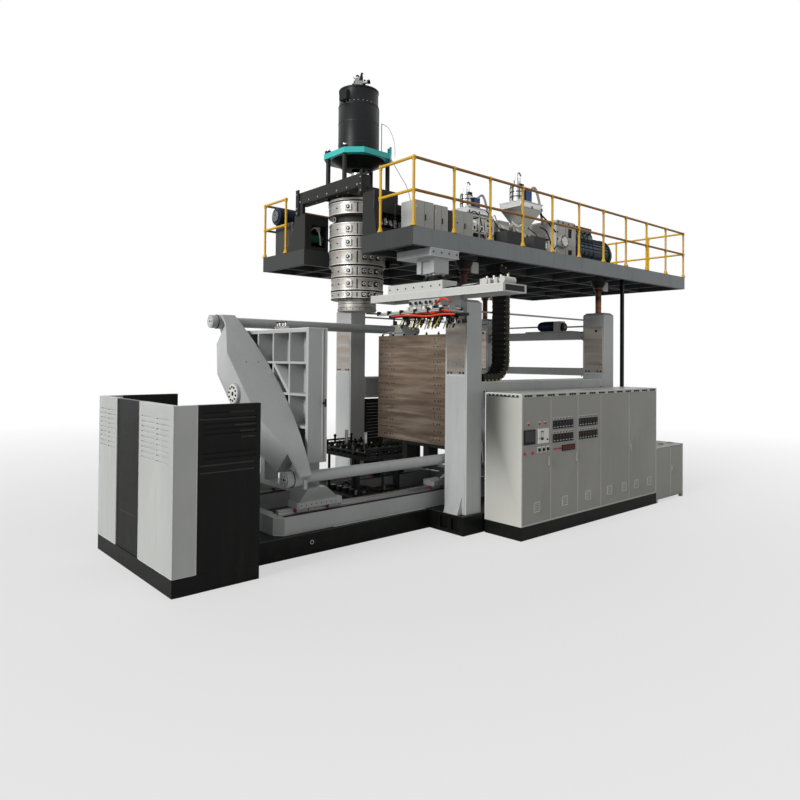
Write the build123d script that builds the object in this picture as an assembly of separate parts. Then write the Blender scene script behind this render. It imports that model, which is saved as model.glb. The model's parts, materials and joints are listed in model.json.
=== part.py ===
from build123d import *
import math
import os

# Accumulator blow moulding machine for large hollow containers, in millimetres.
# X runs along the clamp stroke, Y across the machine, Z is up.
# The origin lies on the floor under the parison axis.

# General clearances
touch_gap = 0.3
running_gap = 0.5
door_gap = 4

# Floor beds
bed_height = 300
bed_half_width = 1021
bed_left = -3610
bed_beam_width = 340
bed_deck = 12
bed_cross_width = 300
bed_cross_pitch = 850
bed_cross_count = 4
base_left = 726
base_half_width = 1760
base_margin = 150
base_beam_width = 560
base_cross_gap = 900

# Columns
column_x = 340
column_y = 470
column_wall = 20
column_inner_y = 1250
left_column_x = 1000
right_column_x = 4910
column_top = 3650
column_cap_height = 274
column_cap_chamfer = 45
cover_proud = 8
cover_margin = 30
cover_seam = 2458
gusset_length = 110
gusset_height = 290
gusset_width = 300

# Beams between the columns
side_beam_top = 2360
side_beam_height = 400
cross_beam_x = 200
upper_cross_top = 3296
upper_cross_height = 161
lower_cross_top = 2559
lower_cross_height = 152

# Platform lift
screw_radius = 58
screw_hole_clearance = 0.3
screw_bottom = 2900
bracket_height = 190
bracket_top_radius = 125
bracket_neck_radius = 78
lift_gearbox_size = 170
lift_motor_radius = 95
lift_motor_length = 360
line_shaft_radius = 16
pulley_radius = 75

# Rails of the clamp
rail_beam_outer = 960
rail_beam_inner = 600
rail_beam_top = 550
rail_left = -2050
rail_right = 2450
rail_cross_width = 160
rail_mitre = 110
rail_ledge = 16
rail_ledge_out = 30
rail_y = 770
rail_width = 70
rail_height = 60
rail_groove = 12

# Clamp
platen_half = 950
platen_centre_z = 2190
platen_face_x = 1260
platen_plate = 80
platen_rib_depth = 240
platen_cells = 4
platen_rib = 36
platen_rim = 60
platen_skirt_bottom = 790
platen_post = 130
platen_skirt_rail = 70
foot_length = 330
mould_hole_radius = 14
mould_hole_rows = 5
mould_hole_depth = 40
bar_y = 1129
bar_drop = 1092
bar_radius = 80
bar_left_end = -2060
bar_right_end = 2420
yoke_half_width = 223
yoke_mid_back = 2185
yoke_end_back = 1967
yoke_nut_seat = 1830
yoke_mid_half = 620
yoke_taper_end = 1290
yoke_half_length = 1700
yoke_bow = 215
yoke_web = 40
yoke_flange = 50
yoke_top = 3385
yoke_bottom = 1095
yoke_seat_half = 125
nut_radius = 113
nut_length = 130
nut_small_radius = 84
nut_small_length = 100
locking_length = 150
cap_radius = 150
cap_height = 45
press_rod_radius = 130
press_rod_stroke = 60
shoe_top = 700
shoe_height = 85
shoe_width = 260
shoe_left = 1700
shoe_right = 925
pedestal_top = 960
pedestal_left = 1760
pedestal_right = 1460
pedestal_foot_right = 1000
block_length = 190
travel_barrel_radius = 50
travel_rod_radius = 24
travel_barrel_wall = 12
travel_y = 540
travel_z = 380
travel_barrel_start = 560
travel_barrel_end = 340
travel_lug = 60
travel_piston = 60
clamp_stroke = 760

# Guard at the left end
guard_left = -3700
guard_front = -1453
guard_rear = 1139
guard_open_end = -2600
guard_height = 2155
guard_plinth = 210
guard_wall = 90
guard_corner_x = 290
guard_centre_half = 410
guard_recess = 12
louvre_rows = 9
louvre_pitch = 62
louvre_height = 16
louvre_depth = 14

# Electrical cabinet
cabinet_left = 1185
cabinet_right = 5290
cabinet_front = -2506
cabinet_rear = -1790
cabinet_height = 2200
cabinet_plinth = 207
cabinet_sheet = 20
cabinet_roof = 60
cabinet_floor = 24
door_thickness = 20
door_seams = (1917, 2662, 3351, 4286)
pivot_radius = 6
pivot_clearance = 0.05
pivot_length = 24
pivot_inset = 12
vent_size = 150
vent_z = 465
vent_proud = 3
grip_width = 26
grip_height = 150
grip_proud = 30
instrument_width = 62
instrument_height = 92
instrument_pitch = 80
instrument_proud = 9
stop_stem = 11
stop_head = 22
stop_travel = 5
stem_clearance = 0.4
low_cabinet_right = 6380
duct_left = 2600
duct_right = 3000
duct_height = 150
low_cabinet_height = 1060
low_cabinet_leg = 60
low_door_seam = 5862

# Cable post
post_x = 5310
post_y = -1786
post_side = 60
post_low = 560

# Platform
platform_left = -611
platform_right = 7455
platform_half = 2036
platform_bottom = 4287
platform_top = 4549
platform_deck = 8
platform_edge = 80
joist = 50
notch_right = 700
notch_front = -893
notch_rear = 675
rail_tube = 21
post_radius = 19
rail_rise = 975
rail_mid = 500
post_pitch = 787
post_foot = 60
post_foot_plate = 10
rail_inset = 32
short_rail_start = 1266

# Die head
head_bore = 236
lower_rings = ((3672, 428), (3804, 430), (4019, 430), (4211, 465), (4460, 465), (4672, 465))
upper_rings = ((5021, 480), (5239, 480))
upper_rings_top = 5297
neck_bottom = 4905
neck_top = 5021
neck_radius = 400
die_bottom = 3486
die_radius = 317
port_radius = 42
port_angle = -186
lug_angle = -146
lug_least_ring = 160
seam_angle = -128
seam_width = 8
mandrel_radius = 120
mandrel_tip_radius = 215
die_gap = 12
parison_stroke = 60
annulus_length = 500
annulus_bottom = 4100

# Frame that carries the head
crosshead_bottom = 5320
crosshead_top = 5520
crosshead_width = 190
crosshead_half_x = 600
crosshead_front = -840
crosshead_rear = 906
crosshead_bevel = 24
saddle_half_y = 330
saddle_width = 100
box_front_y = 1160
box_rise = 654
box_height = platform_top + box_rise
box_right = -188
box_step_right = 300
box_step_rise = 507
box_step_height = platform_top + box_step_rise
box_wall = 30
box_rear_y = 1000
box_rear_right = -120
box_rear_rise = 601
box_rear_height = platform_top + box_rear_rise
box_rear_gusset = 230
tie_radius = 37
tie_x = 450
tie_y = 224
tie_nut_radius = 50
tie_nut_height = 45
plate_bottom = 5985
plate_top = 6075
plate_half = 505
plate_corner = 275
funnel_height = 140
funnel_small_radius = 230
funnel_large_radius = 450
cylinder_radius = 337
cylinder_top = 6880
upper_radius = 325
upper_top = 7160
cylinder_taper = 14
cylinder_bore = 180

# Take-out robot
robot_x = 15
pedestal_bottom = 4170
pedestal_half_x = 295
pedestal_near = -2036
pedestal_far = -1320
leg_bottom = 3950
guide_radius = 22
lift_box_bottom = 3690
lift_box_top = 3830
lift_box_half_x = 150
lift_box_near = -2130
lift_box_far = -950
robot_beam_half_x = 239
robot_beam_near = -3300
robot_beam_far = -640
robot_beam_bottom = 3580
robot_beam_wall = 12
truck_near = -2150
truck_far = -1500
finger_drop = 3225

# Bottom blow unit
unit_plate_z = 480
table_bottom = 1120
table_thickness = 60
table_left = -312
table_right = 430
table_half_y = 690
table_rod_radius = 22
table_slack = 1
pin_radius = 28
pin_reach = 260
spreader_reach = 220

# Energy chain
chain_y = -1500
chain_half_width = 150
chain_pitch = 90
chain_gap = 0.3
chain_height = 110
chain_outer_half = 25
chain_inner_half = 28
chain_start = 1300
chain_flat_links = 4
chain_lower_bend = (18, 36, 54, 72)
chain_upper_bend = (118, 149)

pieces = {}


def block(x0, x1, y0, y1, z0, z1):
    """Rectangular solid between two corners."""
    centre = Pos((x0 + x1) / 2, (y0 + y1) / 2, (z0 + z1) / 2)
    return centre * Box(abs(x1 - x0), abs(y1 - y0), abs(z1 - z0))


def rod_x(x0, x1, y, z, radius):
    """Round bar along X."""
    return Pos((x0 + x1) / 2, y, z) * Rot(Y=90) * Cylinder(radius, abs(x1 - x0))


def rod_y(x, y0, y1, z, radius):
    """Round bar along Y."""
    return Pos(x, (y0 + y1) / 2, z) * Rot(X=90) * Cylinder(radius, abs(y1 - y0))


def rod_z(x, y, z0, z1, radius):
    """Round bar along Z."""
    return Pos(x, y, (z0 + z1) / 2) * Cylinder(radius, abs(z1 - z0))


def prism(points, travel):
    """Solid swept from a closed outline of 3-D points along a travel vector."""
    face = make_face(Polyline(*points, close=True))
    length = math.sqrt(sum(v * v for v in travel))
    return extrude(face, amount=length, dir=travel)


def prism_x(outline, x0, x1):
    """Outline of (y, z) points drawn along X."""
    return prism([(x0, y, z) for y, z in outline], (x1 - x0, 0, 0))


def prism_y(outline, y0, y1):
    """Outline of (x, z) points drawn along Y."""
    return prism([(x, y0, z) for x, z in outline], (0, y1 - y0, 0))


def prism_z(outline, z0, z1):
    """Outline of (x, y) points drawn along Z."""
    return prism([(x, y, z0) for x, y in outline], (0, 0, z1 - z0))


def flip_y(shape):
    """Copy of a shape on the other side of the machine's centre plane."""
    return mirror(shape, about=Plane.XZ)


def flip_x(shape):
    """Copy of a shape on the other side of the parison axis."""
    return mirror(shape, about=Plane.YZ)


def keep(name, *shapes):
    """Store the solids of one named piece."""
    solids = []
    for shape in shapes:
        solids.extend(shape.solids())
    pieces[name] = Compound(solids)


def spread(low, high, count):
    """Evenly spaced values from low to high, both included."""
    step = (high - low) / (count - 1)
    return [low + step * index for index in range(count)]


# Machine bed

def machine_bed():
    bed = block(bed_left, base_left, -bed_half_width, bed_half_width, bed_height - bed_deck, bed_height)
    for side in (-1, 1):
        outer = side * bed_half_width
        inner = side * (bed_half_width - bed_beam_width)
        bed += block(bed_left, base_left, outer, inner, 0, bed_height - bed_deck)
    inner_half = bed_half_width - bed_beam_width
    for index in range(bed_cross_count):
        centre = -index * bed_cross_pitch
        left = centre - bed_cross_width / 2
        right = centre + bed_cross_width / 2
        bed += block(left, right, -inner_half, inner_half, 0, bed_height - bed_deck)
    bed += block(bed_left, bed_left + bed_cross_width, -inner_half, inner_half, 0, bed_height - bed_deck)
    keep("machine_bed", bed)


base_right = right_column_x + column_x / 2 + base_margin
base_deck_bottom = bed_height - bed_deck


def column_base():
    base = block(base_left, base_right, -base_half_width, base_half_width, base_deck_bottom, bed_height)
    inner_half = base_half_width - base_beam_width
    for side in (-1, 1):
        base += block(base_left, base_right, side * inner_half, side * base_half_width, 0, base_deck_bottom)
    base += block(base_left, base_right, -bed_cross_width / 2, bed_cross_width / 2, 0, base_deck_bottom)
    cross_count = math.ceil((base_right - base_left) / (base_cross_gap + bed_cross_width)) + 1
    for x in spread(base_left, base_right - bed_cross_width, cross_count):
        base += block(x, x + bed_cross_width, -inner_half, inner_half, 0, base_deck_bottom)
    # Fork pockets in the end that faces the mould space
    for y in (-base_half_width + 90, -base_half_width + 330):
        pocket = block(base_left - 1, base_left + 60, y, y + 180, 60, 240)
        base -= pocket
        base -= flip_y(pocket)
    keep("column_base", base)


# Columns and the beams between them

def column(x, y_inner):
    """Hollow column with a chamfered cap, a screw hole, a cover and a foot gusset."""
    y0, y1 = sorted((y_inner, math.copysign(abs(y_inner) + column_y, y_inner)))
    x0, x1 = x - column_x / 2, x + column_x / 2
    body = block(x0, x1, y0, y1, bed_height, column_top)
    top_edges = body.faces().sort_by(Axis.Z)[-1].edges()
    body = chamfer(top_edges, column_cap_chamfer)
    hollow_top = column_top - column_cap_height
    body -= block(
        x0 + column_wall, x1 - column_wall, y0 + column_wall, y1 - column_wall,
        bed_height + column_wall, hollow_top,
    )
    y_mid = (y0 + y1) / 2
    body -= rod_z(x, y_mid, hollow_top - 1, column_top + 1, screw_radius + screw_hole_clearance)
    # Bolted covers on the face towards the mould
    cover_low, cover_high = y0 + cover_margin, y1 - cover_margin
    cover_left = x0 - cover_proud
    body += block(cover_left, x0, cover_low, cover_high, bed_height + 90, cover_seam)
    body += block(cover_left, x0, cover_low, cover_high, cover_seam + 14, hollow_top)
    foot = [
        (x0, bed_height),
        (x0 - gusset_length, bed_height),
        (x0 - cover_proud, bed_height + gusset_height),
        (x0, bed_height + gusset_height),
    ]
    body += prism_y(foot, y_mid - gusset_width / 2, y_mid + gusset_width / 2)
    return body


def columns():
    solids = []
    for x in (left_column_x, right_column_x):
        solids += [column(x, -column_inner_y), column(x, column_inner_y)]
    keep("columns", *solids)


beam_left = left_column_x + column_x / 2
beam_right = right_column_x - column_x / 2 - cover_proud
column_outer_y = column_inner_y + column_y
column_mid_y = column_inner_y + column_y / 2


def side_beams():
    low = side_beam_top - side_beam_height
    beam = block(beam_left, beam_right, -column_outer_y, -column_inner_y, low, side_beam_top)
    inner_recess = block(
        beam_left + 40, beam_right - 40, -column_inner_y - 60, -column_inner_y + 1,
        low + 40, side_beam_top - 40,
    )
    beam -= inner_recess
    keep("side_beams", beam, flip_y(beam))


def cross_beams():
    x0 = right_column_x - cross_beam_x / 2
    x1 = right_column_x + cross_beam_x / 2
    upper = block(
        x0, x1, -column_inner_y, column_inner_y, upper_cross_top - upper_cross_height, upper_cross_top
    )
    for side in (-1, 1):
        low = upper_cross_top - upper_cross_height
        corner = [
            (side * column_inner_y, low),
            (side * column_inner_y, low - 60),
            (side * (column_inner_y - 90), low),
        ]
        upper += prism_x(corner, x0, x1)
    lower = block(
        x0, x1, -column_inner_y, column_inner_y, lower_cross_top - lower_cross_height, lower_cross_top
    )
    keep("right_cross_beams", upper, lower)


# Platform lift: motor, gearbox, pulley and line shafts on the frame

shaft_z = column_top - column_cap_height / 2
motor_y = -300
line_shaft_y = column_inner_y + 60


def lift_drive():
    plate_top = upper_cross_top + 20
    plate = block(
        right_column_x - 150, right_column_x + 150, -950, 200, upper_cross_top, plate_top
    )
    centre_z = plate_top + lift_gearbox_size / 2
    gear_y1 = motor_y - lift_motor_length / 2
    motor = rod_y(right_column_x, gear_y1, gear_y1 + lift_motor_length, centre_z + 20, lift_motor_radius)
    motor += block(
        right_column_x - 70, right_column_x + 70, gear_y1 + 60, gear_y1 + 240, plate_top, centre_z
    )
    motor += rod_y(
        right_column_x, gear_y1 + lift_motor_length, gear_y1 + lift_motor_length + 50, centre_z + 20,
        lift_motor_radius * 0.86,
    )
    half = lift_gearbox_size / 2
    gearbox = block(
        right_column_x - half, right_column_x + half, gear_y1 - lift_gearbox_size, gear_y1,
        plate_top, plate_top + lift_gearbox_size + 40,
    )
    pulley_face = gear_y1 - lift_gearbox_size
    pulley = rod_y(right_column_x, pulley_face - 60, pulley_face, centre_z, pulley_radius * 0.4)
    pulley += rod_y(right_column_x, pulley_face - 50, pulley_face - 10, centre_z, pulley_radius)
    keep("lift_drive", plate, motor + gearbox, pulley, *line_shafts())


def line_shafts():
    """Shafts between the drive and the screw gears in the tops of the columns."""
    front = rod_x(
        beam_left, beam_right, -line_shaft_y, shaft_z, line_shaft_radius
    )
    rear = flip_y(front)
    pulley_end = motor_y - lift_motor_length / 2 - lift_gearbox_size - 60
    shaft_height = upper_cross_top + 20 + lift_gearbox_size / 2
    cross_front = rod_y(right_column_x, -column_inner_y, pulley_end, shaft_height, line_shaft_radius)
    motor_end = motor_y + lift_motor_length / 2 + 50
    cross_rear = rod_y(right_column_x, motor_end, column_inner_y, shaft_height + 20, line_shaft_radius)
    return front, rear, cross_front, cross_rear


# Rail beams with the linear rails of the clamp

def rail_frame():
    beam = block(rail_left, rail_right, -rail_beam_outer, -rail_beam_inner, bed_height, rail_beam_top)
    mitre = [
        (rail_left, -rail_beam_outer),
        (rail_left + rail_mitre, -rail_beam_outer),
        (rail_left, -rail_beam_outer + rail_mitre),
    ]
    beam -= prism_z(mitre, bed_height - 1, rail_beam_top + 1)
    ledge_left = rail_left + 900
    beam += block(
        ledge_left, left_column_x - column_x, -rail_beam_outer - rail_ledge_out, -rail_beam_outer,
        bed_height, bed_height + rail_ledge,
    )
    left_cross = block(
        rail_left, rail_left + rail_cross_width, -rail_beam_inner, rail_beam_inner, bed_height, rail_beam_top
    )
    right_cross = block(
        rail_right - rail_cross_width, rail_right, -rail_beam_inner, rail_beam_inner,
        bed_height, rail_beam_top,
    )
    keep("rail_beams", beam, flip_y(beam), left_cross, right_cross)


def linear_rails():
    half = rail_width / 2
    waist = half - rail_groove
    top = rail_beam_top + rail_height
    outline = [
        (-half, rail_beam_top),
        (half, rail_beam_top),
        (half, rail_beam_top + rail_height * 0.3),
        (waist, rail_beam_top + rail_height * 0.45),
        (waist, rail_beam_top + rail_height * 0.6),
        (half, rail_beam_top + rail_height * 0.75),
        (half, top),
        (-half, top),
        (-half, rail_beam_top + rail_height * 0.75),
        (-waist, rail_beam_top + rail_height * 0.6),
        (-waist, rail_beam_top + rail_height * 0.45),
        (-half, rail_beam_top + rail_height * 0.3),
    ]
    shifted = [(y - rail_y, z) for y, z in outline]
    rail = prism_x(shifted, rail_left + rail_mitre, rail_right - rail_mitre)
    keep("linear_rails", rail, flip_y(rail))


# Clamp carriages

bar_angle = math.degrees(math.atan2(bar_drop, bar_y))
lower_bar = (-bar_y, platen_centre_z - bar_drop)
upper_bar = (bar_y, platen_centre_z + bar_drop)
platen_back = platen_face_x + platen_plate + platen_rib_depth
yoke_front = platen_back + touch_gap
rail_top = rail_beam_top + rail_height
shoe_bottom = shoe_top - shoe_height
clamp_limit_y = column_inner_y - 8


def yoke_outline():
    """Outline of the diagonal girder seen along the stroke, as (y, z) points."""
    turn = math.radians(bar_angle)

    def place(along, across):
        y = along * math.cos(turn) - across * math.sin(turn)
        z = platen_centre_z + along * math.sin(turn) + across * math.cos(turn)
        return y, z

    def cut_at(z, across):
        rise = z - platen_centre_z - across * math.cos(turn)
        return place(rise / math.sin(turn), across)

    near, far = yoke_half_width, -yoke_half_width
    seat_y = bar_y + yoke_seat_half
    return [
        cut_at(yoke_bottom, near),
        cut_at(yoke_top, near),
        (seat_y, yoke_top),
        (seat_y, upper_bar[1] - yoke_seat_half),
        place(yoke_taper_end, far),
        cut_at(yoke_bottom, far),
    ]


def yoke(bar_fit):
    """Diagonal girder behind a platen: bowed front, stepped back, pocketed on its lower side."""
    bow = ThreePointArc(
        (-yoke_front - yoke_bow, -yoke_half_length),
        (-yoke_front, 0),
        (-yoke_front - yoke_bow, yoke_half_length),
    )
    back = Polyline(
        (-yoke_front - yoke_bow, yoke_half_length),
        (-yoke_end_back, yoke_half_length),
        (-yoke_end_back, yoke_taper_end),
        (-yoke_mid_back, yoke_mid_half),
        (-yoke_mid_back, -yoke_mid_half),
        (-yoke_end_back, -yoke_taper_end),
        (-yoke_end_back, -yoke_half_length),
        (-yoke_front - yoke_bow, -yoke_half_length),
    )
    girder = extrude(make_face(Curve() + bow + back), amount=yoke_half_width, both=True)
    # Pockets between the flanges, open on the lower side
    front = -yoke_front - yoke_flange - 40
    rear = -yoke_end_back + yoke_flange
    for low, high in ((-1150, -620), (-580, -200), (200, 580), (620, 1150)):
        girder -= Pos((front + rear) / 2, (low + high) / 2, -yoke_web) * Box(
            front - rear, high - low, 2 * yoke_half_width
        )
    # Recess between the webs at each end, where the nut seats
    for side in (-1, 1):
        girder -= Pos((-yoke_end_back - yoke_nut_seat) / 2, side * yoke_half_length, -yoke_web) * Box(
            yoke_end_back - yoke_nut_seat, 2 * (yoke_half_length - yoke_taper_end), 2 * yoke_half_width
        )
    turned = Pos(0, 0, platen_centre_z) * Rot(X=bar_angle) * girder
    turned = turned & prism_x(yoke_outline(), -yoke_mid_back, -yoke_front)
    y, z = lower_bar
    turned += block(
        -yoke_nut_seat, -yoke_front - yoke_bow + 20, y - yoke_seat_half, y + yoke_seat_half,
        pedestal_top, yoke_bottom + 90,
    )
    for y, z in (lower_bar, upper_bar):
        turned -= rod_x(-yoke_mid_back - 1, 0, y, z, bar_radius + bar_fit)
    return turned


def left_yoke():
    rod_end = yoke_front + press_rod_stroke + 60
    girder = yoke(0) - rod_x(
        -rod_end - press_rod_stroke, 0, 0, platen_centre_z, press_rod_radius + running_gap
    )
    girder += rod_x(-yoke_mid_back - cap_height, -yoke_mid_back, 0, platen_centre_z, cap_radius)
    keep("left_yoke", girder)


def tie_bars():
    """Two tie bars, each with its stepped nut behind the left yoke."""
    bars = []
    for y, z in (lower_bar, upper_bar):
        bars.append(rod_x(bar_left_end, bar_right_end, y, z, bar_radius))
        face = -yoke_nut_seat
        nut = rod_x(face - nut_length, face, y, z, nut_radius)
        nut += rod_x(face - nut_length - nut_small_length, face - nut_length, y, z, nut_small_radius + 20)
        nut -= rod_x(face - 600, face + 1, y, z, bar_radius)
        bars.append(nut)
    keep("tie_bars", *bars)


def platen_body():
    """Left platen: face plate with crossed ribs behind it."""
    z0 = platen_centre_z - platen_half
    z1 = platen_centre_z + platen_half
    x_back = -platen_back
    x_plate = -platen_face_x - platen_plate
    body = block(x_back, -platen_face_x, -platen_half, platen_half, z0, z1)
    cell = (2 * platen_half - 2 * platen_rim - (platen_cells - 1) * platen_rib) / platen_cells
    for row in range(platen_cells):
        for column_index in range(platen_cells):
            y = -platen_half + platen_rim + column_index * (cell + platen_rib)
            z = z0 + platen_rim + row * (cell + platen_rib)
            body -= block(x_back - 1, x_plate, y, y + cell, z, z + cell)
    # One bracing rib across a cell of the third row
    y = -platen_half + platen_rim + (cell + platen_rib)
    z = z0 + platen_rim + 2 * (cell + platen_rib)
    brace = [
        (y, z),
        (y + platen_rib, z),
        (y + cell, z + cell - platen_rib),
        (y + cell, z + cell),
        (y + cell - platen_rib, z + cell),
        (y, z + platen_rib),
    ]
    body += prism_x(brace, x_back, x_plate)
    # Boss that takes the clamp rod
    body += rod_x(x_back, x_plate, 0, platen_centre_z, press_rod_radius + 60)
    return body


def platen_skirt():
    """Windowed skirt below a platen, with a foot that slides on the front shoe."""
    z0 = platen_centre_z - platen_half
    x_back = -platen_back
    x_front = -platen_face_x - platen_plate
    half = rail_y + shoe_width / 2
    skirt = block(x_back, x_front, -half, half, platen_skirt_bottom, z0)
    width = (2 * half - 4 * platen_post) / 3
    for index in range(3):
        y = -half + platen_post + index * (width + platen_post)
        skirt -= block(
            x_back - 1, x_front + 1, y, y + width,
            platen_skirt_bottom + platen_skirt_rail, z0 - platen_skirt_rail,
        )
    skirt += block(
        x_back, x_back + foot_length, -half, -half + shoe_width, shoe_top + touch_gap, platen_skirt_bottom
    )
    return skirt


def shoe():
    """Shoe with two recirculating blocks that straddle the front rail."""
    body = block(
        -shoe_left, -shoe_right, -rail_y - shoe_width / 2, -rail_y + shoe_width / 2, shoe_bottom, shoe_top
    )
    body = chamfer(body.edges().filter_by(Axis.Z), 20)
    for x in (-shoe_left + 20, -shoe_right - 20 - block_length):
        body += block(x, x + block_length, -rail_y - 80, -rail_y + 80, rail_beam_top + 8, shoe_bottom)
    slot_half = rail_width / 2 + running_gap
    body -= block(
        -shoe_left - 1, -shoe_right + 1, -rail_y - slot_half, -rail_y + slot_half,
        rail_beam_top, rail_top + running_gap,
    )
    return body


def rear_foot():
    """Shoe of the rear rail, with the block that carries the platen."""
    foot = flip_y(shoe())
    foot += block(
        -platen_back, -platen_back + foot_length, rail_y - shoe_width / 2, rail_y + shoe_width / 2,
        shoe_top, platen_skirt_bottom,
    )
    return foot


def travel_rod(side):
    """Lug under a shoe with the rod and piston of its travel cylinder."""
    y = travel_y * side
    lug_x = -(travel_barrel_start + clamp_stroke + travel_lug + 20)
    inner = min(abs(y) - travel_lug, rail_beam_inner)
    lug = block(
        lug_x, lug_x + travel_lug, side * (rail_beam_inner - 4), side * inner, travel_z - travel_lug, shoe_top
    )
    lug += block(
        lug_x, lug_x + travel_lug, side * (rail_y - shoe_width / 2), side * inner, shoe_bottom, shoe_top
    )
    piston_x = -travel_barrel_start + 25
    lug += rod_x(lug_x + 1, piston_x + 1, y, travel_z, travel_rod_radius)
    lug += rod_x(
        piston_x, piston_x + travel_piston, y, travel_z,
        travel_barrel_radius - travel_barrel_wall - running_gap,
    )
    return lug


def left_platen():
    body = platen_body() + platen_skirt() + rear_foot()
    rod_end = yoke_front + press_rod_stroke + 60
    body += rod_x(-rod_end, -platen_back, 0, platen_centre_z, press_rod_radius)
    keep("left_platen", body)


def right_platen():
    body = flip_x(platen_body() + platen_skirt() + rear_foot() + travel_rod(1))
    z_span = platen_half - 150
    for z in spread(platen_centre_z - z_span, platen_centre_z + z_span, mould_hole_rows):
        for y in (-860, -580, 700):
            body -= rod_x(platen_face_x, platen_face_x + mould_hole_depth, y, z, mould_hole_radius)
    keep("right_platen", body)


def right_yoke():
    """Locking yoke: the tie bars run through its locking housings."""
    fit = 1
    girder = yoke(fit) & block(
        -yoke_mid_back, 0, -clamp_limit_y, clamp_limit_y, pedestal_top, yoke_top
    )
    for y, z in (lower_bar, upper_bar):
        housing = rod_x(-yoke_nut_seat - locking_length, -yoke_nut_seat, y, z, nut_radius)
        girder += housing - rod_x(-yoke_mid_back, 0, y, z, bar_radius + fit)
    keep("right_yoke", flip_x(girder))


def pedestal():
    """Tapered pedestal from the front shoe up to the foot of the yoke."""
    near = -rail_y - shoe_width / 2
    low_edge, high_edge = near + 10, near + shoe_width
    bottom = [
        (-shoe_left + 30, low_edge, shoe_top),
        (-pedestal_foot_right, low_edge, shoe_top),
        (-pedestal_foot_right, high_edge - 10, shoe_top),
        (-shoe_left + 30, high_edge - 10, shoe_top),
    ]
    top_edge = -min(bar_y + yoke_seat_half, clamp_limit_y)
    top = [
        (-pedestal_left, top_edge, pedestal_top),
        (-pedestal_right, top_edge, pedestal_top),
        (-pedestal_right, -rail_y - 30, pedestal_top),
        (-pedestal_left, -rail_y - 30, pedestal_top),
    ]
    low_face = make_face(Polyline(*bottom, close=True))
    high_face = make_face(Polyline(*top, close=True))
    body = loft([low_face, high_face])
    # Room for the platen's foot, which slides on the shoe
    skirt_near = near - touch_gap
    return body - block(-platen_back - touch_gap, 0, skirt_near, 0, shoe_top, pedestal_top + 1)


def carriages():
    keep("left_carriage", shoe() + pedestal() + travel_rod(-1))
    right = shoe() + pedestal()
    right += block(
        -platen_back, -platen_back + foot_length, -rail_y - shoe_width / 2 + 1, -rail_y + shoe_width / 2,
        shoe_top, shoe_top + touch_gap,
    )
    keep("right_carriage", flip_x(right))


def travel_cylinders():
    """Fast-travel cylinders between the rail beams, one for each carriage."""
    barrels = []
    for side in (-1, 1):
        y = travel_y * side
        barrel = rod_x(-travel_barrel_start, travel_barrel_end, y, travel_z, travel_barrel_radius)
        bore = travel_barrel_radius - travel_barrel_wall
        barrel -= rod_x(-travel_barrel_start + 20, travel_barrel_end - 20, y, travel_z, bore)
        barrel -= rod_x(-travel_barrel_start - 1, -travel_barrel_start + 21, y, travel_z,
                        travel_rod_radius + running_gap)
        for x in (-travel_barrel_start + 40, travel_barrel_end - 80):
            saddle = block(x, x + 60, y - 55, y + 55, bed_height, travel_z)
            barrel += saddle - rod_x(x - 1, x + 61, y, travel_z, travel_barrel_radius)
        if side > 0:
            barrel = flip_x(barrel)
        barrels.append(barrel)
    keep("travel_cylinders", *barrels)


# Guard at the left end

def louvres(shape, axis, face, start, end, rows, top):
    """Rows of pressed slots near the top of a guard sheet."""
    cut = shape
    for row in range(rows):
        z = top - row * louvre_pitch
        if axis == "x":
            cut -= block(face - 1, face + louvre_depth, start, end, z - louvre_height, z)
        else:
            cut -= block(start, end, face - 1, face + louvre_depth, z - louvre_height, z)
    return cut


def guard():
    z0, z1 = guard_plinth, guard_height
    inner_x = guard_left + guard_wall
    front_corner = block(guard_left, inner_x, guard_front, -guard_centre_half - touch_gap, z0, z1)
    front_return = block(
        inner_x, guard_left + guard_corner_x, guard_front, guard_front + guard_wall, z0, z1
    )
    first_row = z1 - 160
    for start, end in ((guard_front + 130, -960), (-900, -guard_centre_half - 70)):
        front_corner = louvres(front_corner, "x", guard_left, start, end, louvre_rows, first_row)
    rear_corner = block(guard_left, inner_x, guard_centre_half + touch_gap, guard_rear, z0, z1)
    rear_return = block(
        inner_x, guard_left + guard_corner_x, guard_rear - guard_wall, guard_rear, z0, z1
    )
    for start, end in ((guard_centre_half + 70, 760), (820, guard_rear - 70)):
        rear_corner = louvres(rear_corner, "x", guard_left, start, end, louvre_rows, first_row)
    keep("guard_corner_panels", front_corner, front_return, rear_corner, rear_return)

    centre = block(guard_left + guard_recess, inner_x, -guard_centre_half, guard_centre_half, z0, z1)
    wing_left = guard_left + guard_corner_x + touch_gap
    front_wing = block(wing_left, guard_open_end, guard_front, guard_front + guard_wall, z0, z1)
    front_wing = louvres(front_wing, "y", guard_front, wing_left + 60, guard_open_end - 60, 5, z1 - 90)
    front_wing = louvres(front_wing, "y", guard_front, wing_left + 60, guard_open_end - 60, 2, z1 - 560)
    rear_wing = block(wing_left, guard_open_end, guard_rear - guard_wall, guard_rear, z0, z1)
    keep("guard_dark_panels", centre, front_wing, rear_wing, rear_louvre_panel())

    plinth_end = block(guard_left, inner_x, guard_front, guard_rear, 0, z0)
    plinth_front = block(inner_x, guard_open_end, guard_front, guard_front + guard_wall, 0, z0)
    plinth_rear = block(inner_x, guard_open_end, guard_rear - guard_wall, guard_rear, 0, z0)
    low_cabinet_plinth = block(
        cabinet_left, cabinet_right, cabinet_front, cabinet_rear, 0, cabinet_plinth
    )
    duct = block(duct_left, duct_right, cabinet_rear, -base_half_width, 0, duct_height)
    keep("plinths", plinth_end, plinth_front, plinth_rear, low_cabinet_plinth, duct)


# Electrical cabinet

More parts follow.
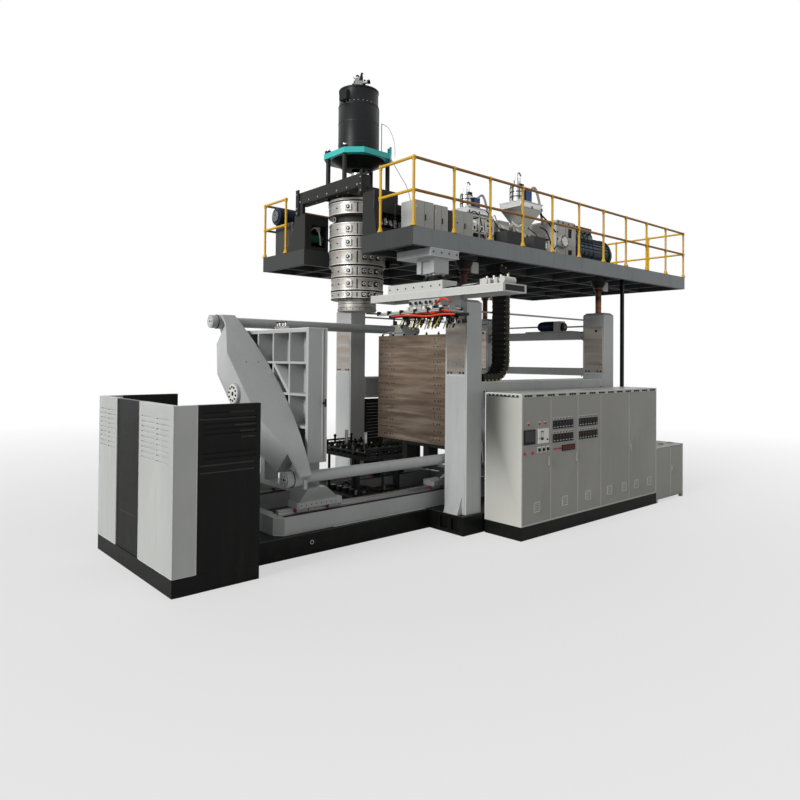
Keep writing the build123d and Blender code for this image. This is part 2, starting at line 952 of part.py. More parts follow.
door_front = cabinet_front
door_back = cabinet_front + door_thickness
door_low = cabinet_plinth + cabinet_floor + 3
door_high = cabinet_height - cabinet_roof - 3
door_edges = (cabinet_left + cabinet_sheet, *door_seams, cabinet_right - cabinet_sheet)
door_hinge_left = (True, True, False, True, False)


def pivot_x(index):
    """X of the pivot pin of a cabinet door."""
    if door_hinge_left[index]:
        return door_edges[index] + door_gap / 2 + pivot_inset
    return door_edges[index + 1] - door_gap / 2 - pivot_inset


def cabinet():
    """Cabinet of separate sheets, with the door pivots, and the switchgear inside."""
    left, right = cabinet_left, cabinet_right
    front, rear = cabinet_front, cabinet_rear
    room_top = cabinet_height - cabinet_roof
    room_low = cabinet_plinth + cabinet_floor
    roof = block(left, right, front, rear, room_top, cabinet_height)
    floor = block(left, right, front, rear, cabinet_plinth, room_low)
    sheets = [
        block(left, left + cabinet_sheet, front, rear, room_low, room_top),
        block(right - cabinet_sheet, right, front, rear, room_low, room_top),
        block(
            left + cabinet_sheet, right - cabinet_sheet, rear - cabinet_sheet, rear, room_low, room_top
        ),
    ]
    for x in door_seams:
        sheets.append(block(
            x - cabinet_sheet, x + cabinet_sheet, door_back + 10, door_back + 70, room_low, room_top
        ))
    pin_y = front + pivot_inset
    for index in range(len(door_hinge_left)):
        x = pivot_x(index)
        floor += rod_z(x, pin_y, room_low, room_low + pivot_length, pivot_radius)
        roof += rod_z(x, pin_y, room_top - pivot_length, room_top, pivot_radius)
    # Ventilation slots below the edge of the roof
    for x in spread(left + 60, right - 260, 14):
        roof -= block(x, x + 200, front - 1, front + 10, cabinet_height - 45, cabinet_height - 20)
    keep("cabinet_body", roof, floor, *sheets)
    gear = block(
        cabinet_left + 80, cabinet_right - 80, cabinet_rear - cabinet_sheet - 6,
        cabinet_rear - cabinet_sheet, room_low + 100, room_top - 120,
    )
    plate_face = cabinet_rear - cabinet_sheet - 6
    for level in range(5):
        z = room_low + 220 + level * 330
        for x in spread(cabinet_left + 160, cabinet_right - 560, 7):
            gear += block(x, x + 380, plate_face - 110 - 20 * (level % 2), plate_face, z, z + 170)
    keep("electrical_gear", gear)


def door_panel(index):
    """One cabinet door with its vent frames, grip and pivot bores."""
    x0 = door_edges[index] + door_gap / 2
    x1 = door_edges[index + 1] - door_gap / 2
    panel = block(x0, x1, door_front, door_back, door_low, door_high)
    hinge_x = x0 if door_hinge_left[index] else x1
    upright = panel.edges().filter_by(Axis.Z)
    near_hinge = [edge for edge in upright if abs(edge.center().X - hinge_x) < 1]
    panel = fillet(near_hinge, door_thickness / 2 - 1)
    pin_y = door_front + pivot_inset
    for z0, z1 in ((door_low - 1, door_low + pivot_length), (door_high - pivot_length, door_high + 1)):
        panel -= rod_z(pivot_x(index), pin_y, z0, z1, pivot_radius + pivot_clearance)
    for x in vent_places[index]:
        half = vent_size / 2
        frame = block(x - half, x + half, door_front - vent_proud, door_front, vent_z - half, vent_z + half)
        for row in range(5):
            z = vent_z - half + 20 + row * 24
            frame -= block(x - half + 15, x + half - 15, door_front - vent_proud - 1, door_front, z, z + 12)
        panel += frame
    if grip_places[index]:
        x = grip_places[index]
        panel += block(
            x - grip_width / 2, x + grip_width / 2, door_front - grip_proud, door_front,
            1145 - grip_height / 2, 1145 + grip_height / 2,
        )
    return panel


vent_places = ((1562,), (2299,), (2965,), (3630, 4115), (4535, 5013))
grip_places = (1860, 2615, None, None, 4337)
stop_places = ((1256, 1296), (1451, 1296))
knob_places = ((1613, 1332), (1722, 1332), (1830, 1332))


def doors():
    first = door_panel(0)
    for x, z in (*stop_places, *knob_places):
        first -= rod_y(x, door_front - 1, door_back + 1, z, stop_stem + stem_clearance)
    keep("cabinet_door_1", first, *operator_panel())
    keep("cabinet_door_2", door_panel(1), *instruments(1972), *indicator_row())
    keep("cabinet_door_3", door_panel(2), *instruments(2690))
    keep("cabinet_door_4", door_panel(3))
    keep("cabinet_door_5", door_panel(4))


def operator_panel():
    """Screen, controller, pilot lamps and switch plates on the first door."""
    face = door_front
    screen = block(1236, 1503, face - 14, face, 1432, 1649)
    screen -= block(1254, 1485, face - 15, face - 8, 1462, 1632)
    controller = block(1577, 1838, face - 18, face, 1433, 1652)
    controller -= block(1620, 1700, face - 19, face - 10, 1470, 1610)
    lamps = [rod_y(x, face - 12, face, 1731, 15) for x in (1349, 1622, 1763)]
    plates = []
    for x, z in knob_places:
        plate = block(x - 42, x + 42, face - 3, face, z - 48, z + 48)
        plates.append(plate - rod_y(x, face - 4, face + 1, z, stop_stem + stem_clearance))
    return [screen, controller, *lamps, *plates]


def instruments(start):
    """Two rows of temperature controllers with a pilot lamp above each."""
    face = door_front
    solids = []
    for index in range(7):
        x = start + index * instrument_pitch
        for z in (1649, 1436):
            lamp_z = z + instrument_height + 38
            solids.append(
                block(x, x + instrument_width, face - instrument_proud, face, z, z + instrument_height)
            )
            lamp_x = x + instrument_width / 2
            solids.append(block(lamp_x - 8, lamp_x + 8, face - 8, face, lamp_z - 8, lamp_z + 8))
    return solids


def indicator_row():
    """Small lamps and a dark meter below the controllers."""
    face = door_front
    solids = [rod_y(x, face - 10, face, 1312, 13) for x in (2010, 2070, 2130, 2180)]
    solids.append(block(2215, 2565, face - 12, face, 1265, 1355))
    return solids


def push_buttons():
    """Two sprung stop buttons and three selector knobs on the first door."""
    for name, (x, z) in zip(("stop_button", "emergency_button"), stop_places):
        head_face = door_front - stop_travel - 1
        button = rod_y(x, head_face - 14, head_face, z, stop_head)
        button += rod_y(x, head_face - 1, door_back + 8, z, stop_stem)
        clip = stop_stem + 4
        button += block(x - clip, x + clip, door_back + 1, door_back + 8, z - clip, z + clip)
        keep(name, button)
    for index, (x, z) in enumerate(knob_places):
        plate_face = door_front - 3 - touch_gap
        knob = rod_y(x, plate_face - 10, plate_face, z, 24)
        knob += block(x - 7, x + 7, plate_face - 26, plate_face - 9, z - 22, z + 22)
        knob += rod_y(x, plate_face - 1, door_back + 8, z, stop_stem)
        clip = stop_stem + 4
        knob += block(x - clip, x + clip, door_back + 1, door_back + 8, z - clip, z + clip)
        keep(f"selector_knob_{index + 1}", knob)


def low_cabinet():
    """Low oil cabinet beside the electrical one, on short legs, with one door."""
    left, right = cabinet_right, low_cabinet_right
    front, rear = cabinet_front, cabinet_rear
    sheet = cabinet_sheet
    z0, z1 = low_cabinet_leg, low_cabinet_height
    room_low, room_top = z0 + 30, z1 - 30
    pin_x = right - sheet - door_gap / 2 - pivot_inset
    pin_y = front + pivot_inset
    floor = block(left, right, front, rear, z0, room_low)
    for x in (left, right - 60):
        for y in (front, rear - 60):
            floor += block(x, x + 60, y, y + 60, 0, z0)
    floor += rod_z(pin_x, pin_y, room_low, room_low + pivot_length, pivot_radius)
    roof = block(left, right, front, rear, room_top, z1)
    roof += rod_z(left + 330, (front + rear) / 2 - 60, z1, z1 + 45, 70)
    roof += rod_z(pin_x, pin_y, room_top - pivot_length, room_top, pivot_radius)
    sheets = [
        block(left, left + sheet, front, rear, room_low, room_top),
        block(right - sheet, right, front, rear, room_low, room_top),
        block(left + sheet, right - sheet, rear - sheet, rear, room_low, room_top),
        block(left + sheet, low_door_seam, front, front + sheet, room_low, room_top),
    ]
    keep("low_cabinet", floor, roof, *sheets)
    x0 = low_door_seam + door_gap / 2
    x1 = low_cabinet_right - cabinet_sheet - door_gap / 2
    door = block(x0, x1, cabinet_front, cabinet_front + door_thickness, z0 + 33, z1 - 33)
    near_hinge = [edge for edge in door.edges().filter_by(Axis.Z) if abs(edge.center().X - x1) < 1]
    door = fillet(near_hinge, door_thickness / 2 - 1)
    door -= rod_z(pin_x, pin_y, z0, z0 + 33 + pivot_length, pivot_radius + pivot_clearance)
    door -= rod_z(pin_x, pin_y, z1 - 33 - pivot_length, z1, pivot_radius + pivot_clearance)
    door += block(x0 + 30, x0 + 52, cabinet_front - grip_proud, cabinet_front, 560, 680)
    keep("low_cabinet_door", door)


# Platform

def pocketed(x0, x1, y0, y1, columns_x, rows_y):
    """Deck plate on a rim and joists: a slab pocketed from below."""
    slab = block(x0, x1, y0, y1, platform_bottom, platform_top)
    cell_x = (x1 - x0 - 2 * platform_edge - (columns_x - 1) * joist) / columns_x
    cell_y = (y1 - y0 - 2 * platform_edge - (rows_y - 1) * joist) / rows_y
    for i in range(columns_x):
        for j in range(rows_y):
            x = x0 + platform_edge + i * (cell_x + joist)
            y = y0 + platform_edge + j * (cell_y + joist)
            slab -= block(
                x, x + cell_x, y, y + cell_y, platform_bottom - 1, platform_top - platform_deck
            )
    return slab


def platform():
    main = pocketed(notch_right, platform_right, -platform_half, platform_half, 8, 4)
    pad = bracket_top_radius + 30
    for x in (left_column_x, right_column_x):
        for side in (-1, 1):
            y = side * column_mid_y
            main += block(x - pad, x + pad, y - pad, y + pad, platform_bottom, platform_top - 1)
    front = pocketed(platform_left, notch_right, -platform_half, notch_front, 2, 2)
    rear = pocketed(platform_left, notch_right, notch_rear, platform_half, 2, 2)
    front += block(
        robot_x - pedestal_half_x, robot_x + pedestal_half_x, pedestal_near + 200, pedestal_far,
        platform_bottom, platform_top - 1,
    )
    keep("platform_frame", main, front, rear)


def jack_screws():
    solids = []
    for x in (left_column_x, right_column_x):
        for side in (-1, 1):
            y = side * column_mid_y
            neck = platform_bottom - bracket_height
            screw = rod_z(x, y, screw_bottom, neck, screw_radius)
            flare = Pos(x, y, (neck + platform_bottom) / 2) * Cone(
                bracket_neck_radius, bracket_top_radius, bracket_height
            )
            solids.append(screw)
            solids.append(flare)
    keep("jack_screws", *solids)


def tube_side(radius):
    """Eight-sided section of a handrail tube, flat on top."""
    return RegularPolygon(radius, 8, major_radius=False, rotation=22.5)


def railing(start, end, post_places):
    """Straight run of top and middle tube with its posts and foot plates."""
    (xa, ya), (xb, yb) = start, end
    tube = Part()
    for rise in (rail_rise - rail_tube, rail_mid):
        z = platform_top + rise
        if ya == yb:
            tube += extrude(Pos(xa, ya, z) * Rot(Y=90) * tube_side(rail_tube), amount=xb - xa)
        else:
            low, high = sorted((ya, yb))
            tube += extrude(Pos(xa, high, z) * Rot(X=90) * tube_side(rail_tube), amount=high - low)
    for x, y in post_places:
        tube += extrude(Pos(x, y, platform_top) * tube_side(post_radius), amount=rail_rise - rail_tube)
        half = post_foot / 2
        tube += block(x - half, x + half, y - half, y + half, platform_top, platform_top + post_foot_plate)
    return tube


def handrails():
    x0 = platform_left + rail_inset
    x1 = platform_right - rail_inset
    edge = platform_half - rail_inset
    places = spread(x0, x1, round((x1 - x0) / post_pitch) + 1)
    inner = short_rail_start + rail_inset
    end_half = edge - rail_tube
    solids = []
    for side in (-1, 1):
        posts = [(x, side * edge) for x in places]
        solids.append(railing((x0 - rail_tube, side * edge), (x1 + rail_tube, side * edge), posts))
        solids.append(railing((x0, side * inner), (x0, side * end_half), [(x0, side * inner)]))
    posts = [(x1, y) for y in spread(-edge, edge, 6)[1:-1]]
    solids.append(railing((x1, -end_half), (x1, end_half), posts))
    keep("handrails", *solids)


# Die head with its accumulator piston and mandrel

def head_rings(rings, top):
    """Heater rings stacked on each other, each with its clamp lug and split."""
    solids = []
    tops = [bottom for bottom, radius in rings[1:]] + [top]
    for (z0, radius), z1 in zip(rings, tops):
        ring = rod_z(0, 0, z0, z1, radius)
        middle = (z0 + z1) / 2
        if z1 - z0 > lug_least_ring:
            lug = block(radius - 20, radius + 14, -32, 32, middle - 30, middle + 40)
            ring += Rot(Z=lug_angle) * lug
        ring -= Rot(Z=seam_angle) * block(
            radius - 30, radius + 10, -seam_width / 2, seam_width / 2, z0 - 1, z1 + 1
        )
        solids.append(ring - rod_z(0, 0, z0 - 1, z1 + 1, head_bore))
    return solids


def die_head():
    """Stacked heater rings round the bore, their clamps, the dark neck and the die."""
    solids = head_rings(lower_rings, neck_bottom) + head_rings(upper_rings, upper_rings_top)
    neck = rod_z(0, 0, neck_bottom, neck_top, neck_radius)
    neck += Rot(Z=port_angle) * rod_x(
        neck_radius - 20, neck_radius + 45, 0, (neck_bottom + neck_top) / 2, port_radius
    )
    solids.append(neck - rod_z(0, 0, neck_bottom - 1, neck_top + 1, head_bore))
    hanger_low = upper_rings_top
    hanger = rod_z(0, 0, hanger_low, crosshead_bottom, neck_radius)
    solids.append(hanger - rod_z(0, 0, hanger_low - 1, crosshead_bottom + 1, mandrel_radius + running_gap))
    die_top = lower_rings[0][0]
    die = rod_z(0, 0, die_bottom, die_top, die_radius)
    die -= Pos(0, 0, (die_bottom + die_top) / 2) * Cone(
        mandrel_tip_radius + die_gap, mandrel_radius + 90, die_top - die_bottom
    )
    solids.append(die)
    keep("die_head", *solids)


def mandrel():
    """Mandrel with its cone at the die, its rod up through the head, and the shot piston."""
    cone_top = die_bottom + 114
    rod_top = plate_bottom - funnel_height - parison_stroke
    body = rod_z(0, 0, cone_top, rod_top, mandrel_radius)
    body += Pos(0, 0, (die_bottom + cone_top) / 2) * Cone(
        mandrel_tip_radius, mandrel_radius, cone_top - die_bottom
    )
    keep("die_mandrel", body)
    piston = rod_z(0, 0, annulus_bottom, annulus_bottom + annulus_length, head_bore - 1)
    piston -= rod_z(0, 0, annulus_bottom - 1, annulus_bottom + annulus_length + 1, mandrel_radius + 1)
    keep("shot_piston", piston)


# Crosshead that hangs the head between the platform arms

def side_box(front):
    """Support box of one platform arm with its sloping gusset and framed opening."""
    left = -crosshead_half_x
    if front:
        box = block(left, box_right, -box_front_y, notch_front, platform_top, box_height)
        box += block(box_right, box_step_right, -box_front_y, notch_front, platform_top, box_step_height)
        box -= block(
            left + 90, box_step_right - 60, -box_front_y - 1, notch_front - box_wall,
            platform_top + 120, platform_top + 350,
        )
        gusset = [
            (-box_front_y, platform_top),
            (-box_front_y - 60, platform_top),
            (-box_front_y, box_height - 250),
        ]
        return box + prism_x(gusset, left, left + 120)
    box = block(left, box_rear_right, notch_rear, box_rear_y, platform_top, box_rear_height)
    box -= block(
        left + 130, box_rear_right - 30, notch_rear - 1, box_rear_y - box_wall,
        platform_top + 60, platform_top + 430,
    )
    gusset = [
        (box_rear_y, platform_top),
        (box_rear_y + box_rear_gusset, platform_top),
        (box_rear_y, box_rear_height - 100),
    ]
    return box + prism_x(gusset, left, left + 30)


def crosshead():
    """Beams over the head, their boxes on both arms, the right-hand gantry and tie columns."""
    solids = [side_box(True), side_box(False)]
    left, right = -crosshead_half_x, crosshead_half_x
    beam = block(
        left, left + crosshead_width, crosshead_front, crosshead_rear, crosshead_bottom, crosshead_top
    )
    beam = chamfer(beam.edges().filter_by(Axis.X).sort_by(Axis.Z)[-1:], crosshead_bevel)
    for y in (-saddle_half_y, saddle_half_y - saddle_width):
        beam += block(left + crosshead_width, right, y, y + saddle_width, crosshead_bottom, crosshead_top)
    beam += block(
        right - crosshead_width, right, -saddle_half_y, saddle_half_y, crosshead_bottom, crosshead_top
    )
    # Brackets from the beam's ends down to the boxes
    beam += block(left, left + 60, crosshead_front - 55, crosshead_front, box_height, crosshead_top - 60)
    beam += block(left, left + 60, crosshead_front - 55, crosshead_front + 60, box_height, crosshead_bottom)
    beam += block(left, left + 60, crosshead_rear - 150, crosshead_rear, box_rear_height, crosshead_bottom)
    # Gantry legs at the edge of the platform
    for y in (-saddle_half_y, saddle_half_y - saddle_width):
        beam += block(
            right - saddle_width, right, y, y + saddle_width, platform_bottom + 20, crosshead_bottom
        )
        beam += block(
            right, notch_right, y, y + saddle_width, platform_bottom + 20, platform_top - 20
        )
    solids.append(beam)
    for x in (-tie_x, tie_x):
        for y in (-tie_y, tie_y):
            solids.append(rod_z(x, y, crosshead_top, plate_bottom, tie_radius))
            if x < 0:
                solids.append(rod_z(x, y, crosshead_bottom - 22, crosshead_bottom, tie_radius))
    keep("crosshead_frame", *solids)


def cylinder_plate():
    """Eight-cornered plate that carries the cylinder, with the nuts of the tie columns."""
    octagon = [
        (-plate_half, -plate_corner),
        (-plate_corner, -plate_half),
        (plate_corner, -plate_half),
        (plate_half, -plate_corner),
        (plate_half, plate_corner),
        (plate_corner, plate_half),
        (-plate_corner, plate_half),
        (-plate_half, plate_corner),
    ]
    plate = prism_z(octagon, plate_bottom, plate_top)
    plate -= rod_z(0, 0, plate_bottom - 1, plate_top + 1, mandrel_radius + 1)
    nuts = []
    for x in (-tie_x, tie_x):
        for y in (-tie_y, tie_y):
            nuts.append(rod_z(x, y, plate_top, plate_top + tie_nut_height, tie_nut_radius))
    scale = block(plate_half - 90, plate_half - 60, -330, -260, plate_top, plate_top + 170)
    keep("cylinder_plate", plate, *nuts, scale)


def head_cylinder():
    """Double cylinder above the head, its funnel below the plate and its valves."""
    body = rod_z(0, 0, plate_top, cylinder_top, cylinder_radius)
    body += Pos(0, 0, cylinder_top + cylinder_taper / 2) * Cone(
        cylinder_radius, upper_radius, cylinder_taper
    )
    body += rod_z(0, 0, cylinder_top + cylinder_taper, upper_top, upper_radius)
    body += Rot(Z=-170) * block(
        upper_radius - 30, upper_radius + 65, -80, 80, cylinder_top + 40, cylinder_top + 200
    )
    body -= rod_z(0, 0, plate_top - 1, cylinder_top - 80, cylinder_bore)
    funnel = Pos(0, 0, plate_bottom - funnel_height / 2) * Cone(
        funnel_small_radius, funnel_large_radius, funnel_height
    )
    funnel -= rod_z(0, 0, plate_bottom - funnel_height - 1, plate_bottom + 1, mandrel_radius + 1)
    valve = rod_z(-100, -40, upper_top, upper_top + 95, 62)
    valve += rod_z(-100, -40, upper_top + 94, upper_top + 165, 20)
    manifold = block(-30, 190, -110, 110, upper_top, upper_top + 55)
    manifold += rod_z(40, -40, upper_top + 54, upper_top + 130, 30)
    keep("head_cylinder", body, funnel, valve, manifold)


# Extruders, hoppers and boxes on the platform

extruder_z = 5010
extruder_y = (-860, 860)
barrel_left = 640
barrel_right = 3900
barrel_radius = 150
cover_half = 190
screw_bore = 75
screw_flights = 6
gearbox_right = 4560
gearbox_half_y = 330
gearbox_top = 5430
motor_right = 5900
motor_radius = 300
hopper_x = (3240, 3700)
hopper_rise = (0, 250)
hopper_half = 330
hopper_low = 5290
hopper_high = 5660
hopper_rim = 110
hopper_ratio = 0.75
hopper_wall = 8
throat_half = 110


def screw(y):
    """Extruder screw with its drive shank in the gearbox."""
    root = screw_bore * 0.7
    body = rod_x(barrel_left + 60, barrel_right + 200, y, extruder_z, root)
    for x in spread(barrel_left + 100, barrel_right - 60, screw_flights):
        body += rod_x(x, x + 24, y, extruder_z, screw_bore - running_gap)
    return body


def drive_motor(y):
    """Extruder motor on its base, with its terminal housing on top and its fan cowl."""
    centre_z = platform_top + 120 + motor_radius
    motor = rod_x(gearbox_right, motor_right, y, centre_z, motor_radius)
    motor += block(gearbox_right + 150, motor_right - 250, y - 260, y + 260, platform_top, centre_z - 100)
    motor += block(
        gearbox_right + 100, gearbox_right + 760, y - 200, y + 200, centre_z + 200, centre_z + 480
    )
    motor += rod_x(motor_right, motor_right + 160, y, centre_z, motor_radius * 0.8)
    return motor


def rectangle(x, y, z, half_x, half_y):
    """Horizontal rectangular face round a centre."""
    corners = [
        (x - half_x, y - half_y, z),
        (x + half_x, y - half_y, z),
        (x + half_x, y + half_y, z),
        (x - half_x, y + half_y, z),
    ]
    return make_face(Polyline(*corners, close=True))


def hopper_shell(x, y, rise, inset):
    """Tapered hopper body with its lid; the inset gives the room inside it."""
    half_x = hopper_half - inset
    half_y = hopper_half * hopper_ratio - inset
    rim_z = hopper_high + rise - hopper_rim
    foot = rectangle(x, y, hopper_low + rise - 60, throat_half - inset, throat_half - inset)
    rim = rectangle(x, y, rim_z, half_x, half_y)
    upper = block(
        x - half_x, x + half_x, y - half_y, y + half_y, rim_z, hopper_high + rise - inset
    )
    return loft([foot, rim], ruled=True) + upper


def hopper(x, y, rise):
    return hopper_shell(x, y, rise, 0) - hopper_shell(x, y, rise, hopper_wall)


def loader(x, y, rise):
    """Vacuum loader and filter box on a hopper's lid."""
    top = hopper_high + rise
    loader_x = x - 130
    body = rod_z(loader_x, y, top, top + 330, 110)
    body += rod_z(loader_x, y, top + 330, top + 420, 70)
    body += rod_z(loader_x, y, top + 420, top + 560, 24)
    body += block(x + 20, x + 200, y - 100, y + 100, top, top + 270)
    return body


def extruders():
    barrels, screws, gearboxes, motors, hoppers, loaders, stands = [], [], [], [], [], [], []
    for y, feed_x, rise in zip(extruder_y, hopper_x, hopper_rise):
        barrel = rod_x(barrel_left, barrel_right, y, extruder_z, barrel_radius)
        barrel -= rod_x(barrel_left + 40, barrel_right + 1, y, extruder_z, screw_bore)
        throat_top = hopper_low + rise - 60
        throat = block(
            feed_x - throat_half, feed_x + throat_half, y - throat_half, y + throat_half,
            extruder_z, throat_top,
        )
        barrel += throat - rod_x(feed_x - 200, feed_x + 200, y, extruder_z, screw_bore)
        barrel -= rod_z(feed_x, y, extruder_z, throat_top + 60, 50)
        # Covers over the heater zones
        for x in spread(1900, 2750, 3):
            cover = block(
                x, x + 300, y - 210, y + 210, extruder_z - cover_half, extruder_z + cover_half
            )
            barrel += cover - rod_x(x - 1, x + 301, y, extruder_z, barrel_radius - 5)
        barrels.append(barrel)
        screws.append(screw(y))
        for x, top in ((1500, extruder_z - barrel_radius), (2400, extruder_z - cover_half)):
            stands.append(block(x, x + 120, y - 100, y + 100, platform_top, top))
        near = y - gearbox_half_y
        gearbox = block(barrel_right, gearbox_right, near, y + gearbox_half_y, platform_top, gearbox_top)
        gearbox = chamfer(gearbox.edges().filter_by(Axis.Y), 40)
        gearbox -= rod_x(barrel_right - 1, barrel_right + 210, y, extruder_z, screw_bore)
        for z in (4700, 5120):
            gearbox -= block(gearbox_right - 260, gearbox_right - 120, near - 1, near + 30, z, z + 180)
        gearboxes.append(gearbox)
        motors.append(drive_motor(y))
        hoppers.append(hopper(feed_x, y, rise))
        loaders.append(loader(feed_x, y, rise))
    keep("extruder_barrels", *barrels, *stands)
    keep("front_screw", screws[0])
    keep("rear_screw", screws[1])
    keep("extruder_gearboxes", *gearboxes)
    keep("extruder_motors", *motors)
    keep("material_hoppers", *hoppers, *loaders)


pump_motor_y = 1730
pump_motor_rise = 730
pump_motor_radius = 150


def platform_boxes():
    z0 = platform_top
    boxes = [
        block(-140, 240, -1560, -1250, z0, z0 + 520),
        block(270, 545, -1560, -1250, z0, z0 + 510),
        block(560, 650, -1560, -1300, z0, z0 + 470),
        block(700, 1120, -1560, -1200, z0, z0 + 500),
        block(1880, 2240, -1640, -1320, z0, z0 + 330),
        block(2600, 2950, -1640, -1330, z0, z0 + 330),
    ]
    pump = block(-500, -60, 1230, 1790, z0, z0 + 560)
    pump_motor = rod_x(-530, -120, pump_motor_y, z0 + pump_motor_rise, pump_motor_radius)
    pump_motor += block(-480, -240, pump_motor_y - 90, pump_motor_y + 90, z0 + 560, z0 + pump_motor_rise)
    pump_motor += rod_x(-548, -530, pump_motor_y, z0 + pump_motor_rise, pump_motor_radius * 0.74)
    keep("platform_boxes", *boxes, pump, pump_motor)


# Take-out robot under the front arm

def robot():
    x0, x1 = robot_x - pedestal_half_x, robot_x + pedestal_half_x
    top = block(x0, x1, pedestal_near, pedestal_far, pedestal_bottom, platform_bottom)
    bevel = [edge for edge in top.edges().filter_by(Axis.Z) if edge.center().Y < pedestal_near + 1]
    top = chamfer(bevel, 12)
    leg_near, leg_far = -1960, -1600
    leg = block(robot_x - 150, robot_x + 150, leg_near, leg_far, leg_bottom, pedestal_bottom)
    for x in (robot_x - 151, robot_x + 110):
        leg -= block(x, x + 41, leg_near + 90, leg_far - 90, leg_bottom - 1, pedestal_bottom - 40)
    for x, y in guide_places:
        leg -= rod_z(x, y, leg_bottom - 1, pedestal_bottom + 60, guide_radius + running_gap)
        top -= rod_z(x, y, pedestal_bottom - 1, platform_bottom - 20, guide_radius + running_gap)
    keep("robot_pedestal", top + leg)
    beam = block(
        robot_x - robot_beam_half_x, robot_x + robot_beam_half_x, robot_beam_near, robot_beam_far,
        robot_beam_bottom, lift_box_bottom,
    )
    inner = robot_beam_half_x - robot_beam_wall
    beam -= block(
        robot_x - inner, robot_x + inner, robot_beam_near + 60, robot_beam_far - 60,
        robot_beam_bottom - 1, lift_box_bottom - robot_beam_wall,
    )
    beam += block(
        robot_x - lift_box_half_x, robot_x + lift_box_half_x, lift_box_near, lift_box_far,
        lift_box_bottom, lift_box_top,
    )
    for x, y in guide_places:
        beam += rod_z(x, y, lift_box_top - 1, pedestal_bottom + 60, guide_radius)
        beam += rod_z(x, y, lift_box_top - 1, lift_box_top + 60, guide_radius + 16)
    for y in (robot_beam_near + 120, robot_beam_near + 420):
        beam += rod_x(robot_x - 120, robot_x + 120, y, lift_box_bottom + 55, 48)
        beam += block(robot_x - 100, robot_x + 100, y - 30, y + 30, lift_box_bottom - 1, lift_box_bottom + 30)
    beam += rod_y(robot_x + 60, robot_beam_near + 420, lift_box_near + 20, lift_box_bottom + 60, 14)
    for side in (-1, 1):
        rail_x = robot_x + side * (inner - 40)
        beam += block(
            rail_x - 15, rail_x + 15, robot_beam_near + 60, robot_beam_far - 60,
            lift_box_bottom - robot_beam_wall - 40, lift_box_bottom - robot_beam_wall,
        )
    keep("robot_beam", beam)


guide_places = ((robot_x - 90, -1900), (robot_x + 90, -1900), (robot_x, -1780), (robot_x, -1660))
truck_top = lift_box_bottom - robot_beam_wall - touch_gap


def robot_truck():
    """Carriage that hangs in the beam, with the gripper's cross rods."""
    inner = robot_beam_half_x - robot_beam_wall
    truck = block(robot_x - inner + 20, robot_x + inner - 20, truck_near, truck_far, 3480, truck_top)
    for side in (-1, 1):
        rail_x = robot_x + side * (inner - 40)
        truck -= block(
            rail_x - 15 - running_gap, rail_x + 15 + running_gap, truck_near - 1, truck_far + 1,
            lift_box_bottom - robot_beam_wall - 40 - running_gap, truck_top + 1,
        )
    truck += rod_y(robot_x, truck_near - 40, truck_far - 260, 3440, 70)
    truck += rod_y(robot_x - 60, truck_far - 1, -760, 3400, 12)
    truck += block(robot_x - 200, robot_x + 200, truck_far - 260, truck_far, 3370, 3481)
    keep("robot_truck", truck)


def gripper():
    """Two jaws that close towards the parison flash."""
    for name, side in (("left_jaw", -1), ("right_jaw", 1)):
        x = robot_x + side * 150
        rail = block(x - 20, x + 20, -2350, -1000, 3330, 3370 - touch_gap)
        for y in (-2300, -2000, -1700, -1400, -1100):
            rail += block(x - 8, x + 8, y - 12, y + 12, finger_drop, 3331)
            pad_x = x - side * 8
            rail += block(min(pad_x, pad_x - side * 26), max(pad_x, pad_x - side * 26), y - 35, y + 35,
                          finger_drop, finger_drop + 60)
        keep(name, rail)


# Bottom blow unit between the rails

def blow_unit():
    plate_top = unit_plate_z + 40
    base = [block(-380, 420, -520, 480, unit_plate_z, plate_top)]
    for x in (-330, 310):
        for y in (-440, 400):
            base.append(block(x, x + 60, y, y + 60, bed_height, unit_plate_z))
    for x, y in table_rods:
        base.append(rod_z(x, y, plate_top, table_bottom + table_thickness + 40, table_rod_radius))
    barrel = rod_z(0, 0, plate_top, unit_plate_z + 460, 60)
    base.append(barrel - rod_z(0, 0, plate_top + 40, unit_plate_z + 461, 38))
    keep("blow_unit_base", *base)
    table_top = table_bottom + table_thickness
    table = block(table_left, table_right, -table_half_y, table_half_y, table_bottom, table_top)
    for x, y in table_rods:
        table -= rod_z(x, y, table_bottom - 1, table_top + 1, table_rod_radius + table_slack)
    table += rod_z(0, 0, unit_plate_z + 280, table_bottom + 1, 37)
    for y in (-600, -560, 560, 600):
        table += block(table_left, table_right, y - 10, y + 10, table_bottom + table_thickness - 1,
                       table_bottom + table_thickness + 20)
    table += rod_z(0, 0, table_bottom + table_thickness - 1, table_bottom + table_thickness + 120, pin_radius)
    keep("blow_table", table)
    for name, side in (("front_spreader", -1), ("rear_spreader", 1)):
        y = side * 300
        z0 = table_bottom + table_thickness + touch_gap
        slide = block(-140, 140, y - 90, y + 90, z0, z0 + 70)
        slide += rod_z(0, y - side * 40, z0 + 69, z0 + 69 + pin_reach, pin_radius)
        slide += rod_x(-spreader_reach, -139, y, z0 + 40, 26)
        keep(name, slide)


table_rods = ((-250, -400), (250, -400), (-250, 400), (250, 400))


# Energy chain from the front beam to the platform

